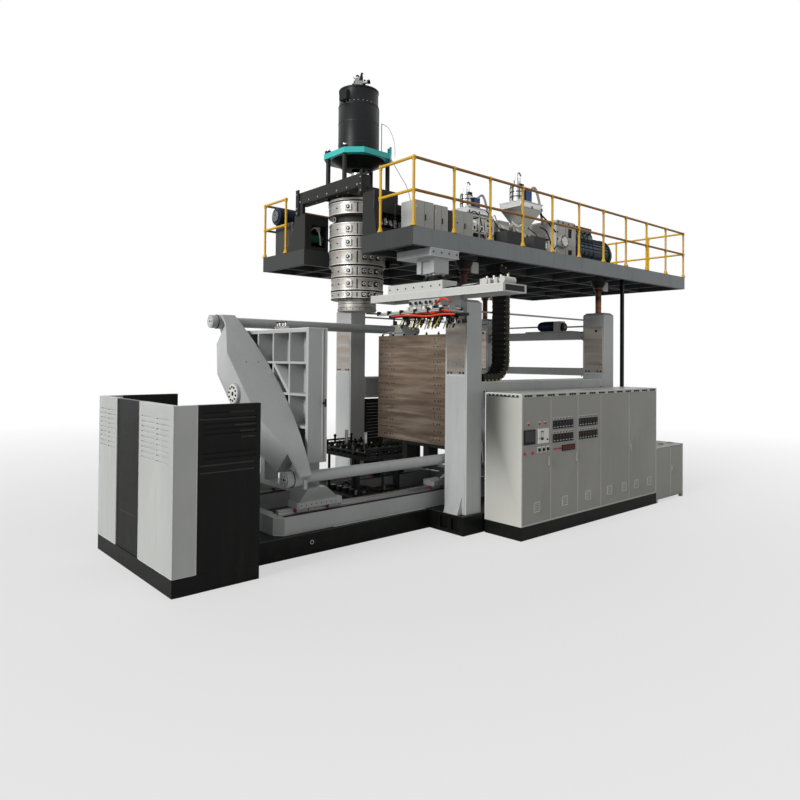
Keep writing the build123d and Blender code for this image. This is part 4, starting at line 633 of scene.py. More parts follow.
def operator_panel():
    """Screen, controller, lamps, key plates and door grips."""
    black, white, red, glass, steel = kits_on("door_1", "black", "white", "red", "glass", "steel")
    on_front(black, 1234, 1505, 1430, 1651, 15.5)
    on_front(glass, 1256, 1483, 1470, 1634, 17, 15)
    for x in range(1264, 1264 + 6 * 38, 38):
        on_front(black, x, x + 24, 1440, 1456, 18, 15)
    on_front(white, 1574, 1841, 1430, 1655, 20)
    for x0, x1, z0, z1 in ((1632, 1700, 1480, 1618), (1590, 1612, 1500, 1516), (1780, 1822, 1470, 1496)):
        on_front(black, x0, x1, z0, z1, 21.5, 19)
    on_front(steel, 1640, 1692, 1520, 1600, 24, 21)
    for x in (1349, 1622, 1763):
        stack((x, door_face, 1731), -to_y, (red, 17, 14))
        on_front(white, x - 24, x + 24, 1752, 1764, 1.5)
    for x in (1613, 1722, 1830):
        on_front(white, x - 43, x + 43, 1358, 1381, 3.2)
        for side in (x - 43, x + 26):
            on_front(white, side, side + 17, 1283, 1358, 3.2)
    for body, x in (("door_1", 1860), ("door_2", 2615), ("door_5", 4337)):
        on_front(kit(body, "grey"), x - 9, x + 9, 1068, 1222, 32)
    on_front(kit("oil_cabinet_door", "grey"), 5895, 5912, 558, 682, 32)


cabinet_lines()
vents()
temperature_controllers()
operator_panel()


# Columns, beams and platform lift

column_faces = ((830, -1720), (830, 1250), (4740, -1720), (4740, 1250))
jack_screws = [(x, y) for x in (1000, 4910) for y in (-1485, 1485)]


def column_details():
    """Bolts along the seam of the covers, cover rims and column corners drawn as light lines (painted
    highlights), and the lifting holes.
    """
    edge, black, iron = kits_on("frame", "edge", "black", "iron")
    for x0, y0 in column_faces:
        face, low, high = x0 - 8, y0 + 30, y0 + 440
        for y in (low + 40, low + 110, high - 110, high - 40):
            iron.bolt((face, y, 2500), -to_x, 13, 10)
            stack((face, y, 2500), -to_x, (black, 19, 1))
        for z0, z1 in ((2450, 2459), (2471, 2478)):
            edge.box(face - 2, face, low, high, z0, z1)
        for y in (low, high - 6):
            edge.box(face - 1.5, face, y, y + 6, 392, 3370)
        edge.box(x0 - 1.5, x0, y0 + 1, y0 + 9, 320, 3600)
    for hole in ((4731, -1547, 3293), (4731, 1386, 3327), (821, -1547, 3300), (821, 1386, 3300)):
        stack(hole, -to_x, (black, 26, 1), sides=20)
    for x in (5081, 1171):
        for z in (2100, 2300):
            iron.bolt((x, -1600, z), to_x, 14)


def beam_details():
    """End plates with bolts on the beams, and the seams of the side beams drawn as light lines, painted
    highlights.
    """
    iron, edge = kits_on("frame", "iron", "edge")
    for z in (2400, 2540, 3170, 3270):
        for y in (-1220, -1180, 1180, 1220):
            iron.bolt((4809, y, z), -to_x, 13)
    edge.box(1180, 4720, -1722, -1720, 2346, 2361)
    edge.box(2500, 2506, -1721.5, -1720, 1970, 2350)
    for x in (1230, 1290, 4600, 4660):
        iron.bolt((x, -1720, 2200), -to_y, 14)


def lift_details():
    """Fins and cowl of the lift motor, pulley rim, and the jack screws' collars and thread turns, whose
    darker colour is painted shade in the grooves.
    """
    blue, black, steel = kits_on("frame", "blue", "black", "steel")
    motor_z, pulley_z = 3421, 3401
    for angle in range(0, 360, 30):
        blue.box(-6, 6, -440, -160, 90, 112, around(angle, "Y", (4910, 0, motor_z)))
    for y in (-478, -140, -122):
        stack((4910, y, motor_z), to_y, (black, 104, 8))
    stack((4910, -700, pulley_z), to_y, (black, 92, 40), sides=32)
    stack((4910, -702, pulley_z), to_y, (steel, 30, 44))
    thread_shade_kit = Kit("jack_screw_threads", "platform", "rusty_steel", thread_shade_and_rust, 0)
    hanger, collar = kits_on("platform", "edge", "black")
    for x, y in jack_screws:
        for z in range(3908, 4090, 16):
            thread_shade_kit.lathe([(57.4, z), (58.2, z + 1), (58.2, z + 7), (57.4, z + 8)], (x, y), 48)
        hanger.box(x + 165, x + 330, y - 15, y + 15, 4110, 4287)
        for z0, z1, radius, tip in ((4286, 4215, 150, 128), (4215, 4140, 128, 84), (4140, 4094, 84, 84)):
            collar.rod((x, y, z0), (x, y, z1), radius, tip, 32)
        for step in range(8):
            dx, dy = 138 * math.cos(step * 0.785), 138 * math.sin(step * 0.785)
            collar.bolt((x + dx, y + dy, 4286), -to_z, 11, 22)
    thread_shade_kit.done()


column_details()
beam_details()
lift_details()


# Energy chain

def chain_details():
    """Yellow crossbars and pins on the links, along the same course as the links."""
    pitch, x, z = 90, 1300.0, 2415.3
    lying, hanging = [0] * 4 + [18, 36, 54, 72], [118, 149, 180]
    bend = sum(pitch * math.sin(math.radians(a)) for a in lying + hanging)
    rise = 4231.7 - z - bend
    count = round(rise / pitch)
    runs = [(a, pitch) for a in lying] + [(90, rise / count)] * count + [(a, pitch) for a in hanging]
    yellow = Kit("energy_chain_marks", "chain", "rail_yellow", looks["yellow"][1], 0)
    black = Kit("energy_chain_pins", "chain", "chain_black", finish["chain_black"], 0)
    for angle, length in runs:
        along = Vector((math.cos(math.radians(angle)), 0, math.sin(math.radians(angle))))
        turn = around(-angle, "Y", Vector((x, 0, z)) + along * (length / 2))
        for side, proud in ((-1650, -4), (-1350, 4)):
            yellow.box(-13, 13, side, side + proud, -50, -26, turn)
            black.rod((-36, side, 0), (-36, side + proud, 0), 16, turn=turn)
        black.box(-length / 2 - 4, length / 2 + 4, -1648, -1352, -46, 46, turn)
        for level in (-57, 57):
            yellow.box(-6, 6, -1640, -1620, level - 2, level + 2, turn)
            black.box(-10, 10, -1610, -1360, level - 3, level + 3, turn)
        x += along.x * length
        z += along.z * length
    yellow.done()
    black.done()


chain_details()


# Handrails: round tube with ball joints and flared feet

rail_low, rail_high = (tuple(v / mm for v in corner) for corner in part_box("handrails"))
deck_level = rail_low[2]


def handrail(start, end, posts):
    """Two tubes between two points, with a ball joint at every post and tube."""
    tube, shaded_bar = kits_on("platform", "rail", "worn_rail")
    # Tubes along the long sides take the darker brown-yellow: painted shade, on top of heavy dirt.
    bar = shaded_bar if abs(end[0] - start[0]) > 1000 else tube
    top, middle = deck_level + 954, deck_level + 500
    for z in (top, middle):
        bar.rod((*start, z), (*end, z), 21, sides=14)
    for x, y in posts:
        tube.rod((x, y, deck_level), (x, y, top), 20, sides=14)
        for z in (top, middle):
            tube.ball((x, y, z), 31, 14)
            tube.rod((x, y, z - 46), (x, y, z - 20), 25, sides=14)
        tube.rod((x, y, deck_level), (x, y, deck_level + 12), 46, sides=20)
        tube.rod((x, y, deck_level + 12), (x, y, deck_level + 70), 40, 22, 14)


def handrails():
    """Rails along both long sides and the far end, and short ones at the open end."""
    x0, x1, edge, inner = rail_low[0] + 21, rail_high[0] - 21, rail_high[1] - 21, 1298
    places = spread(x0, x1, round((x1 - x0) / 787) + 1)
    for side in (-1, 1):
        handrail((x0, side * edge), (x1, side * edge), [(x, side * edge) for x in places])
        handrail((x0, side * inner), (x0, side * edge), [(x0, side * inner)])
    handrail((x1, -edge), (x1, edge), [(x1, y) for y in spread(-edge, edge, 6)[1:-1]])


handrails()


# Die head, its cylinder and the crosshead

head_rings = (
    (3672, 3804, 428), (3804, 4019, 430), (4019, 4211, 430), (4211, 4460, 465), (4460, 4672, 465),
    (4672, 4905, 465), (5021, 5239, 480), (5239, 5297, 480),
)
lug_angle, seam_angle = -146, -128


def head_details():
    """Lips and black joints of the rings, their clamp lugs, terminals and split covers."""
    steel, black, iron, white = kits_on("platform", "steel", "black", "iron", "white")
    for z0, z1, radius in head_rings:
        for z in (z0 + 13, z1 - 27):
            steel.band(radius, z, z + 14, 9)
        for z in (z0, z1 - 11):
            black.band(radius, z, z + 11, 3)
        if z1 - z0 < 100:
            continue
        middle = (z0 + z1) / 2
        turn = around(lug_angle)
        white.box(radius - 4, radius + 26, -54, 54, middle - 46, middle + 52, turn)
        stack((radius + 26, 0, middle + 3), to_x, (black, 31, 8), (white, 15, 14), turn=turn)
        black.box(radius - 20, radius + 4, -9, 9, z0 + 6, z1 - 6, around(seam_angle))
        for angle, size in ((-114, 26), (-100, 30), (-84, 24)):
            turn = around(angle)
            iron.box(radius - 6, radius + 18, -34, 34, middle - 42, middle + 42, turn)
            stack((radius + 18, 0, middle), to_x, (steel, size, 28), (black, size * 0.5, 2), turn=turn)
        for angle in (-200, -172, -60, 20, 70, 120, 160):
            iron.bolt((radius, 0, middle), to_x, 12, 12, around(angle))
    stack((440, 0, 4963), to_x, (steel, 46, 9), (black, 33, 1), sides=28, turn=around(-186))
    for z in (3540, 3600, 3650):
        black.band(317, z, z + 7, 1.5)
    for angle in range(0, 360, 20):
        iron.bolt((317, 0, 3515), to_x, 9, 8, around(angle))


def cylinder_details():
    """Seams and bolt rings of the black cylinder, with its pipes and the fittings on top."""
    black, iron, steel, white = kits_on("platform", "black", "iron", "steel", "white")
    grey, teal = kits_on("platform", "grey", "teal")
    shell, cap, foot, roof = 337, 325, 6075, 7160
    for z in (6240, 6583):
        iron.band(shell, z, z + 9, 2)
        black.band(shell, z + 9, z + 14, 3)
    iron.band(shell, 6872, 6882, 3)
    black.band(cap, 7130, roof - 2, 8)
    black.band(shell, foot + 2, 6112, 9)
    for step in range(28):
        turn = around(step * 360 / 28)
        grey.bolt((cap, 0, 6912), to_x, 9, 7, turn)
        grey.bolt((352, 0, 6084), to_x, 8, 5, turn)
    for angle in (-42, 12, 64, 120):
        iron.box(shell - 4, shell + 6, -8, 8, 6120, 6860, around(angle))
    stack((290, -254, foot + 1), to_z, (white, 8, 564))
    white.hose([(290, -254, 6640), (380, -330, 6560), (440, -400, 6340), (455, -410, 6076)], 6)
    grey.hose([(330, -470, 5985), (420, -560, 5760), (520, -660, 5500), (560, -760, 5057)], 6)
    valve_turn = around(-41.5)
    grey.box(-58, 70, -236, -140, roof, 7262, valve_turn)
    grey.box(-48, 20, -226, -150, 7262, 7312, valve_turn)
    fittings = (
        (steel, (-14, -188, 7312), (-14, -188, 7372), 15), (black, (-14, -188, 7345), (-14, -188, 7362), 27),
        (black, (48, -188, 7262), (48, -188, 7345), 30), (black, (48, -188, 7345), (62, -188, 7405), 19),
        (steel, (70, -200, 7235), (150, -200, 7250), 22), (black, (150, -200, 7250), (196, -200, 7262), 33),
        (black, (104, -170, 7165), (104, -170, 7300), 17), (steel, (-80, -200, 7330), (-40, -190, 7290), 8),
    )
    for made, start, end, radius in fittings:
        made.rod(start, end, radius, turn=valve_turn)
    for x, y, top in ((-100, -40, 7325), (40, -40, 7290), (150, 60, 7250), (-30, 90, 7262)):
        stack((x, y, roof), to_z, (steel, 26, top - roof - 45), (black, 36, 23), (steel, 13, 22))
    for x0, y0, x1, y1 in ((-100, -40, 40, -40), (40, -40, 150, 60)):
        iron.hose([(x0, y0, 7215), ((x0 + x1) / 2, (y0 + y1) / 2, 7262), (x1, y1, 7215)], 9)
    black.box(120, 220, -90, 10, 7155, 7200)
    stack((220, -40, 7178), to_x, (steel, 16, 42))
    for x in (-450, 450):
        for y in (-224, 224):
            stack((x, y, foot), to_z, (black, 58, 47), sides=6)
            stack((x, y, foot + 47), to_z, (steel, 30, 28))
    for angle in range(0, 360, 18):
        black.bolt((410, 0, foot), to_z, 13, 12, around(angle))
    teal.box(414, 446, -332, -318, foot, 6262)


def crosshead_details():
    """Bolt heads, brackets and what stands in the windows of the two support boxes."""
    iron, black, steel, green, grey = kits_on("platform", "iron", "black", "steel", "green", "grey")
    for y in spread(-760, 820, 7):
        grey.bolt((-600, y, 5362), -to_x, 15, 11)
    for y in spread(-700, 760, 6):
        grey.bolt((-505, y, 5320), -to_z, 15, 12)
    black.box(-622, -600, 846, 934, 5140, 5575)
    for z in (5180, 5260, 5500):
        grey.bolt((-622, 890, z), -to_x, 14, 10)
    black.box(-622, -600, -900, -838, 5210, 5560)
    for z in (5250, 5350, 5450):
        grey.bolt((-622, -868, z), -to_x, 13, 10)
    stack((-462, 820, 4770), to_x, (grey, 84, 12), (green, 78, 280), sides=28)
    grey.hose([(-420, 760, 4900), (-380, 700, 4940), (-300, 690, 4860), (-260, 700, 4650)], 12)
    steel.box(-330, -270, 700, 760, 4880, 4960)
    for index in range(7):
        x, odd = -470 + index * 95, index % 2
        grey.box(x, x + 52, -1130, -1060, 4700 + 22 * (index % 3), 4800 + 22 * odd)
        stack((x + 26, -1160, 4730 + 30 * odd), to_y, (steel, 17, 60))
        black.hose([
            (x + 10, -1120, 4810), (x + 30, -1150, 4850), (x + 70, -1140, 4830), (x + 96, -1110, 4700),
        ], 8)
    for x, z1 in ((-600, 5203), (-188, 5056)):
        grey.box(x, x + 3, -1161.5, -1160, 4560, z1)
    iron.box(-560, -220, 960, 1001.5, 5060, 5130)


head_details()
cylinder_details()
crosshead_details()


# Boxes, extruders and hoppers on the platform

def box_details():
    """Door folds drawn as light lines (painted highlights), hinges and latches of the boxes along the front
    edge, and the pump motor's fins.
    """
    edge, black, steel, blue = kits_on("platform", "edge", "black", "steel", "blue")
    deck, face = deck_level, -1560
    for x0, x1, rise in ((-140, 240, 520), (270, 545, 510), (700, 1120, 500)):
        top, middle = deck + rise, (x0 + x1) / 2
        for x in (x0, x1 - 5):
            edge.box(x, x + 5, face - 2, face, deck, top)
        edge.box(x0, x1, face - 2, face, top - 6, top)
        edge.box(x0, x0 + 3, face, face + 250, top - 5, top + 1)
        black.box(middle - 2, middle + 2, face - 1, face, deck + 20, top - 20)
        black.box(middle + 14, middle + 24, face - 14, face, deck + rise * 0.45, deck + rise * 0.62)
        for z in (deck + rise * 0.2, deck + rise * 0.8):
            steel.box(x0 + 12, x0 + 22, face - 8, face, z - 22, z + 22)
    stack((760, face - 1, deck + 300), to_y, (black, 14, 1))
    for x in (-498, -480, -90):
        edge.box(x, x + 4, 1228, 1230, deck, deck + 555)
    axis = deck + 730
    for x in range(-520, -140, 26):
        stack((x, 1730, axis), to_x, (blue, 160, 8), sides=32)
    stack((-549, 1730, axis), to_x, (black, 96, 1), sides=32)
    grille_turn = around(-90, "Y", (-549.5, 1730, axis))
    for radius in (88, 66, 44, 22):
        ring = [(*spot, 0) for spot in on_circle(24, radius)]
        for start, end in zip(ring, ring[1:] + ring[:1]):
            edge.rod(start, end, 3, sides=6, turn=grille_turn)


def hopper_details():
    """Flanges, clamps and pipes of the hoppers and vacuum loaders."""
    steel, black, grey, white, iron = kits_on("platform", "steel", "black", "grey", "white", "iron")
    for x, y, rise in ((3240, -860, 0), (3700, 860, 250)):
        rim, top, loader = 5550 + rise, 5660 + rise, x - 130
        steel.box(x - 342, x + 342, y - 260, y + 260, rim - 8, rim + 8)
        white.box(x - 338, x + 338, y - 256, y + 256, top - 14, top + 4)
        for dx in (-300, 0, 300):
            black.box(x + dx - 12, x + dx + 12, y - 266, y - 256, rim - 14, rim + 34)
        for z in range(top + 20, top + 300, 90):
            black.lathe([(106, z), (119, z), (119, z + 16), (106, z + 16)], (loader, y), 28)
        for dx, dy in on_circle(6, 128):
            stack((loader + dx, y + dy, top), to_z, (iron, 9, 300))
        black.box(loader - 50, loader + 60, y - 120, y + 120, top + 300, top + 350)
        stack((loader, y - 60, top + 350), to_z, (steel, 20, 120))
        stack((loader - 90, y, top + 330), to_z, (steel, 14, 100))
        stack((loader + 80, y + 30, top + 330), to_z, (black, 26, 120))
        grey.hose([(loader, y, top + 540), (loader + 60, y, top + 590), (loader + 120, y, top + 540)], 15)
        grey.hose([
            (x + 110, y - 90, top + 250), (x + 230, y - 140, top + 330), (x + 330, y - 160, top + 120),
            (x + 420, y - 150, top - 140), (x + 520, y - 120, top - 330),
        ], 24)
        black.box(x + 15, x + 205, y - 104, y - 100, top + 20, top + 60)
        steel.box(x - 118, x + 118, y - 118, y + 118, rim - 345, rim - 325)
        for dx in (-80, 80):
            stack((x + dx, y - 118, rim - 335), -to_y, (iron, 14, 12))
    black.hose([(3560, -1000, 5560), (3700, -1080, 5420), (3820, -1120, 5300), (3900, -1180, 5180)], 16)


def extruder_details():
    """Heater covers and terminals of the extruders, gearbox bolts and motor ribs."""
    steel, black, grey, white = kits_on("platform", "steel", "black", "grey", "white")
    iron, blue = kits_on("platform", "iron", "blue")
    barrel_z, motor_z, gearbox_x = 5010, 4969, 4080
    for y in (-860, 860):
        near = y - 330
        for x in spread(760, 1760, 9):
            stack((x, y, barrel_z), to_x, (steel, 166, 70), (black, 156, 20), sides=32)
            iron.box(x + 10, x + 60, y - 200, y - 160, 4980, 5040)
        for x in spread(1900, 2750, 3):
            for z in (4840, 5170):
                for dx in (20, 280):
                    iron.bolt((x + dx, y - 210, z), -to_y, 10, 7)
            black.box(x + 60, x + 240, y - 216, y - 210, 4960, 5060)
            steel.box(x + 70, x + 120, y - 230, y - 214, 5070, 5110)
            white.box(x - 4, x + 304, y - 214, y - 209, 5180, 5202)
        for x in (3960, 4120, 4300, 4500):
            for z in (4600, 5385):
                iron.bolt((x, near, z), -to_y, 18, 14)
        for z in spread(4640, 5330, 6):
            iron.bolt((3940, near, z), -to_y, 16, 12)
        black.box(4210, 4216, near - 1.5, near, 4570, 5400)
        for z in (4704, 5124):
            black.box(4302, 4438, near + 27, near + 29.5, z, z + 172)
        stack((gearbox_x, near, barrel_z), -to_y, (grey, 130, 70), (steel, 90, 14), sides=32)
        for dx, dz in on_circle(8, 112):
            iron.bolt((gearbox_x + dx, near - 70, barrel_z + dz), -to_y, 12, 10)
        for step in range(26):
            blue.box(4640, 5820, -5, 5, 296, 322, around(step * 360 / 26, "X", (0, y, motor_z)))
        for x in (4600, 5840):
            stack((x, y, motor_z), to_x, (blue, 330, 40), sides=40)
        stack((6060, y, motor_z), to_x, (black, 226, 2), sides=40)
        blue.box(4655, 5325, y - 206, y + 206, 5420, 5436)
        for x in (4740, 4900, 5060, 5220):
            stack((x, y - 200, 5330), -to_y, (black, 24, 32))
            black.hose([
                (x, y - 230, 5330), (x + 10, y - 270, 5250), (x + 30, y - 290, 5000), (x + 60, y - 300, 4560),
            ], 11)


loom_courses = (
    ((1250, -1330, 5060), (1330, -1380, 5150), (1460, -1390, 5080), (1560, -1380, 4880), (1640, -1390, 4560)),
    ((1180, -1350, 4960), (1380, -1400, 5040), (1620, -1400, 5060), (1820, -1370, 4900), (1900, -1400, 4560)),
    ((1500, -1340, 5120), (1640, -1400, 4980), (1760, -1410, 5090), (1860, -1380, 5160), (2020, -1300, 5080)),
    ((1330, -1330, 4700), (1450, -1390, 4860), (1600, -1380, 4750), (1780, -1390, 4820), (2000, -1340, 4740)),
    ((1700, -1330, 5220), (1760, -1400, 5120), (1880, -1420, 4980), (2060, -1400, 4900), (2220, -1330, 4960)),
    ((2420, -1300, 5150), (2520, -1360, 5060), (2660, -1370, 5120), (2800, -1350, 4980), (2950, -1300, 4880)),
    ((3000, -1220, 5120), (3120, -1290, 5020), (3260, -1300, 4900), (3420, -1280, 4700), (3560, -1250, 4560)),
    ((3330, -1230, 5190), (3450, -1290, 5120), (3560, -1290, 4960), (3700, -1260, 4820), (3860, -1230, 4900)),
)


def loom_details():
    """Looms in front of the near extruder, their rack and the valves on it."""
    steel, black, white = kits_on("platform", "steel", "black", "white")
    rack_front, rack_back, rack_end = -1420, -1400, 1802
    for index, course in enumerate(loom_courses):
        (white if index % 3 == 2 else black).hose(course, 10 + 3 * (index % 2))
    for x in spread(1240, 1780, 4):
        white.box(x, x + 22, rack_front, rack_back, 4549, 5080)
    for z0, z1 in ((5060, 5084), (4790, 4812)):
        white.box(1240, rack_end, rack_front, rack_back, z0, z1)
    for x in (1300, 1480, 1660):
        steel.box(x, x + 90, -1398, -1340, 4830, 4930)
        black.box(x + 20, x + 60, -1402, -1398, 4850, 4910)
    for x in range(3010, 3620, 120):
        shift = x % 90
        steel.box(x, x + 60, -1150, -1080, 4820 + shift, 4930 + shift)
        stack((x + 30, -1150, 5000), -to_y, (black, 22, 40))


box_details()
hopper_details()
extruder_details()
loom_details()


# Take-out robot

def robot_details():
    """Guide clamps, stops and drives of the take-out robot."""
    steel, black, white = kits_on("robot_arm", "steel", "black", "edge")
    for x, y in ((-75, -1900), (105, -1900), (15, -1780), (15, -1660)):
        stack((x, y, 3884), to_z, (black, 44, 30), sides=24)
        black.box(x - 52, x + 52, y - 40, y + 40, 3832, 3884)
    # Light lines along the beam's edges: painted highlights.
    for x in (-225, 250):
        for z0, z1 in ((3676, 3690), (3580, 3590)):
            white.box(x, x + 5, -3300, -640, z0, z1)
    black.box(-180, 210, -3302, -3300, 3596, 3674)
    for y in (-3180, -3060, -2940, -2820):
        steel.rod((-60, y, 3750), (90, y, 3750), 34, sides=20)
        steel.box(-90, -50, y - 30, y + 30, 3692, 3786)
        stack((20, y, 3784), to_z, (steel, 15, 46))
        stack((90, y, 3750), to_x, (black, 22, 30))
    black.hose([(60, -2800, 3760), (70, -2600, 3790), (60, -2300, 3760), (60, -2140, 3740)], 11)
    black.hose([(-40, -2800, 3740), (-30, -2500, 3720), (-60, -2300, 3730), (-70, -2140, 3720)], 9)
    for y in spread(-2080, -1000, 7):
        black.bolt((-135, y, 3760), -to_x, 12)
    edge, iron = kits_on("platform", "edge", "iron")
    # Light lines on the robot's mount: painted highlights.
    for z0, z1 in ((4170, 4178), (4276, 4287)):
        edge.box(-281, 311, -2038, -2036, z0, z1)
    for x in (-220, -60, 90, 250):
        iron.bolt((x, -2036, 4230), -to_y, 13)


def truck_details():
    """Valves, cylinders, plates and red air lines on the gripper's carriage."""
    steel, black, white, red, iron = kits_on("gripper_truck", "steel", "black", "white", "line_red", "iron")
    for index in range(6):
        x, y = -170 - 14 * (index % 2), -2120 + index * 105
        steel.box(x, x + 70, y, y + 62, 3476 - 12 * (index % 3), 3550)
        stack((x - 52, y + 30, 3520), to_x, (black, 25, 12), (steel, 19, 40))
        stack((x + 30, y + 30, 3475), -to_z, (iron, 15, 55))
    for y in (-2170, -1980, -1830, -1640, -1480):
        stack((-210, y, 3440), to_x, (steel, 15, 435))
        white.box(-214, -188, y - 26, y + 26, 3396, 3470)
        black.box(196, 222, y - 22, y + 22, 3400, 3462)
    steel.box(-190, 215, -2210, -1500, 3392, 3404)
    steel.rod((-230, -2240, 3412), (-230, -860, 3396), 16)
    steel.rod((-262, -2200, 3386), (-262, -900, 3372), 13)
    iron.rod((-225, -860, 3400), (-225, -540, 3424), 13)
    for y in (-2230, -1980, -1700, -1400, -1120, -880):
        black.box(-280, -216, y - 16, y + 16, 3366, 3430)
    lines = (
        (red, 15, (-240, -2470, 3325), (-262, -2250, 3332), (-268, -1960, 3318), (-262, -1640, 3342),
         (-250, -1380, 3352), (-236, -1170, 3350)),
        (red, 13, (-246, -2400, 3366), (-252, -2240, 3392), (-250, -2060, 3362), (-244, -1840, 3372),
         (-238, -1620, 3358)),
        (red, 15, (-200, -2330, 3520), (-216, -2230, 3556), (-216, -2140, 3530), (-200, -2060, 3490)),
        (red, 13, (60, -2100, 3480), (90, -1900, 3430), (80, -1700, 3440), (60, -1450, 3420)),
        (black, 11, (-120, -2100, 3570), (-160, -1950, 3600), (-150, -1800, 3580), (-120, -1700, 3560)),
        (black, 10, (-60, -1650, 3470), (-90, -1450, 3430), (-110, -1250, 3420), (-100, -1000, 3410)),
    )
    for made, radius, *course in lines:
        made.hose(course, radius)


def jaw_details():
    """Fingers with yellow-brown tips and dark joints on both jaws."""
    robot_x = 15
    for body, side in (("gripper_left", -1), ("gripper_right", 1)):
        black, brass, steel = kits_on(body, "black", "yellow", "steel")
        x = robot_x + side * 150
        for index, y in enumerate((-2120, -1960, -1760, -1560, -1340)):
            tilt = 80 if index % 2 else 125
            black.box(x - 26, x + 26, y - 24, y + 24, 3310, 3372)
            brass.rod((x, y + 20, 3330), (x, y + 20 + tilt, 3160), 9)
            black.rod((x, y - 30, 3330), (x, y - 30 + tilt * 0.8, 3170), 13)
            stack((x - side * 34, y, 3226), to_z, (steel, 14, 64))


robot_details()
truck_details()
jaw_details()


# Clamp

platen_z = 2190
yoke_back = 2185


def machine_tree():
    """Search tree of all dressed nodes at rest."""
    whole = bmesh.new()
    for piece in skins.values():
        whole.from_mesh(piece.data)
    tree = BVHTree.FromBMesh(whole)
    whole.free()
    return tree


skin_tree = machine_tree()


def photo_spot(px, py):
    """Point and normal of the machine's surface seen at a place in the photograph, in pixels."""
    focal, centre_x, centre_y = 654.8, 400, 350
    look = (ahead + right * ((px - centre_x) / focal) + up * ((centre_y - py) / focal)).normalized()
    place, normal = skin_tree.ray_cast(camera.location, look)[:2]
    return place / mm, normal


def yoke_details():
    """Bolted disc and web holes of the left yoke, and its tie bar nuts."""
    black, edge, iron, white = kits_on("left_clamp", "black", "edge", "iron", "white")
    disc = -yoke_back - 45
    stack((disc, 0, platen_z), -to_x, (white, 138, 8), sides=40)
    stack((disc - 8, 0, platen_z), -to_x, (black, 30, 2), sides=24)
    for y, z in on_circle(10, 100, 10):
        black.bolt((disc - 8, y, platen_z + z), -to_x, 15, 12)
    for spot in ((246.3, 362.1), (258.1, 362.1)):
        place, normal = photo_spot(*spot)
        stack(place, normal, (black, 11, 2))
    for y, z in ((-1129, 1098), (1129, 3282)):
        stack((-2060, y, z), -to_x, (edge, 74, 7), sides=32)
        stack((-2067, y, z), -to_x, (black, 20, 1))
        for dy, dz in on_circle(6, 52):
            black.bolt((-2067, y + dy, z + dz), -to_x, 8, 6)
        stack((-1962, y, z), to_x, (iron, 115, 8), sides=40)


def carriage_details():
    """Bolt rows on the shoes and red wipers at the rail blocks."""
    for body, side, rails in (("left_clamp", -1, (-770,)), ("right_clamp", 1, (-770, 770))):
        iron, red = kits_on(body, "iron", "red")
        for x in spread(1050, 1640, 8):
            iron.bolt((side * x, -902, 742), -to_y, 11, 9)
            iron.bolt((side * x, -900, 655), -to_y, 8, 7)
        for y in rails:
            for x in (931, 1135, 1476, 1680):
                for low in (y - 84, y + 38):
                    red.box(side * x, side * (x + 14), low, low + 46, 560, 613)
    red = kit("left_mould_platen", "red")
    for x in (-959, -931, -1135, -1504, -1694):
        for low in (686, 808):
            red.box(x, x + 14, low, low + 46, 560, 613)


def left_platen_details():
    """Weld edges drawn as light strips (painted highlights), handle, valves and fixing holes of the left
    platen.
    """
    edge, black, steel, iron = kits_on("left_mould_platen", "edge", "black", "steel", "iron")
    for x in (-1346, -1276):
        edge.box(x, x + 14, -957, -950, 1240, 3140)
    black.box(-1318, -1312, -951.5, -950, 1240, 3140)
    edge.box(-1580, -1260, -955, -950, 3126, 3142)
    edge.box(-1584, -1580, -952, 952, 3126, 3142)
    foot = photo_spot(323, 403)[0]
    grip = foot - 60 * to_y
    black.rod(foot, grip, 16)
    black.rod(grip - 50 * to_z, grip + 60 * to_z, 14)
    for index, y in enumerate((-190, -110, -30, 50)):
        steel.box(-1500, -1430, y, y + 46, 3140, 3186)
        steel.rod((-1470, y + 20, 3186), (-1470 + 16 * (index % 2), y + 30, 3240), 13)
        black.rod((-1470, y + 20, 3240), (-1470, y + 24, 3254), 17)
    steel.rod((-1560, -250, 3160), (-1380, 110, 3160), 12)
    for y in spread(-820, 820, 8):
        iron.bolt((-1260, y, 3090), to_x, 12, 7)
    for z in spread(1330, 3060, 14):
        for y in (-900, -840, -780, -620, 620, 780, 840, 900):
            stack((-1260, y, z), to_x, (black, 13, 1), sides=12)


def right_platen_details():
    """Rows of fixing holes in the milled face, and the hose and valves along its top."""
    black, steel, edge, grey = kits_on("right_clamp", "black", "steel", "edge", "grey")
    for row, z in enumerate(spread(1330, 3060, 14)):
        shift = 26 * (row % 2)
        for y in (905, 845, 760, 700, 590, 530, -545, -640, -700, -840, -900):
            stack((1260, y - shift, z), -to_x, (black, 13, 1), sides=12)
    for y in (-930, -600, -300, 0, 300, 600, 900):
        stack((1320, y, 3140), to_z, (black, 20, 32))
        stack((1320, y, 3172), to_z, (steel, 12, 24))
    grey.hose([(1320, 880, 3180), (1360, 700, 3210), (1340, 500, 3190), (1330, 300, 3200)], 12)
    edge.box(1256, 1262, -952, -950, 1240, 3140)


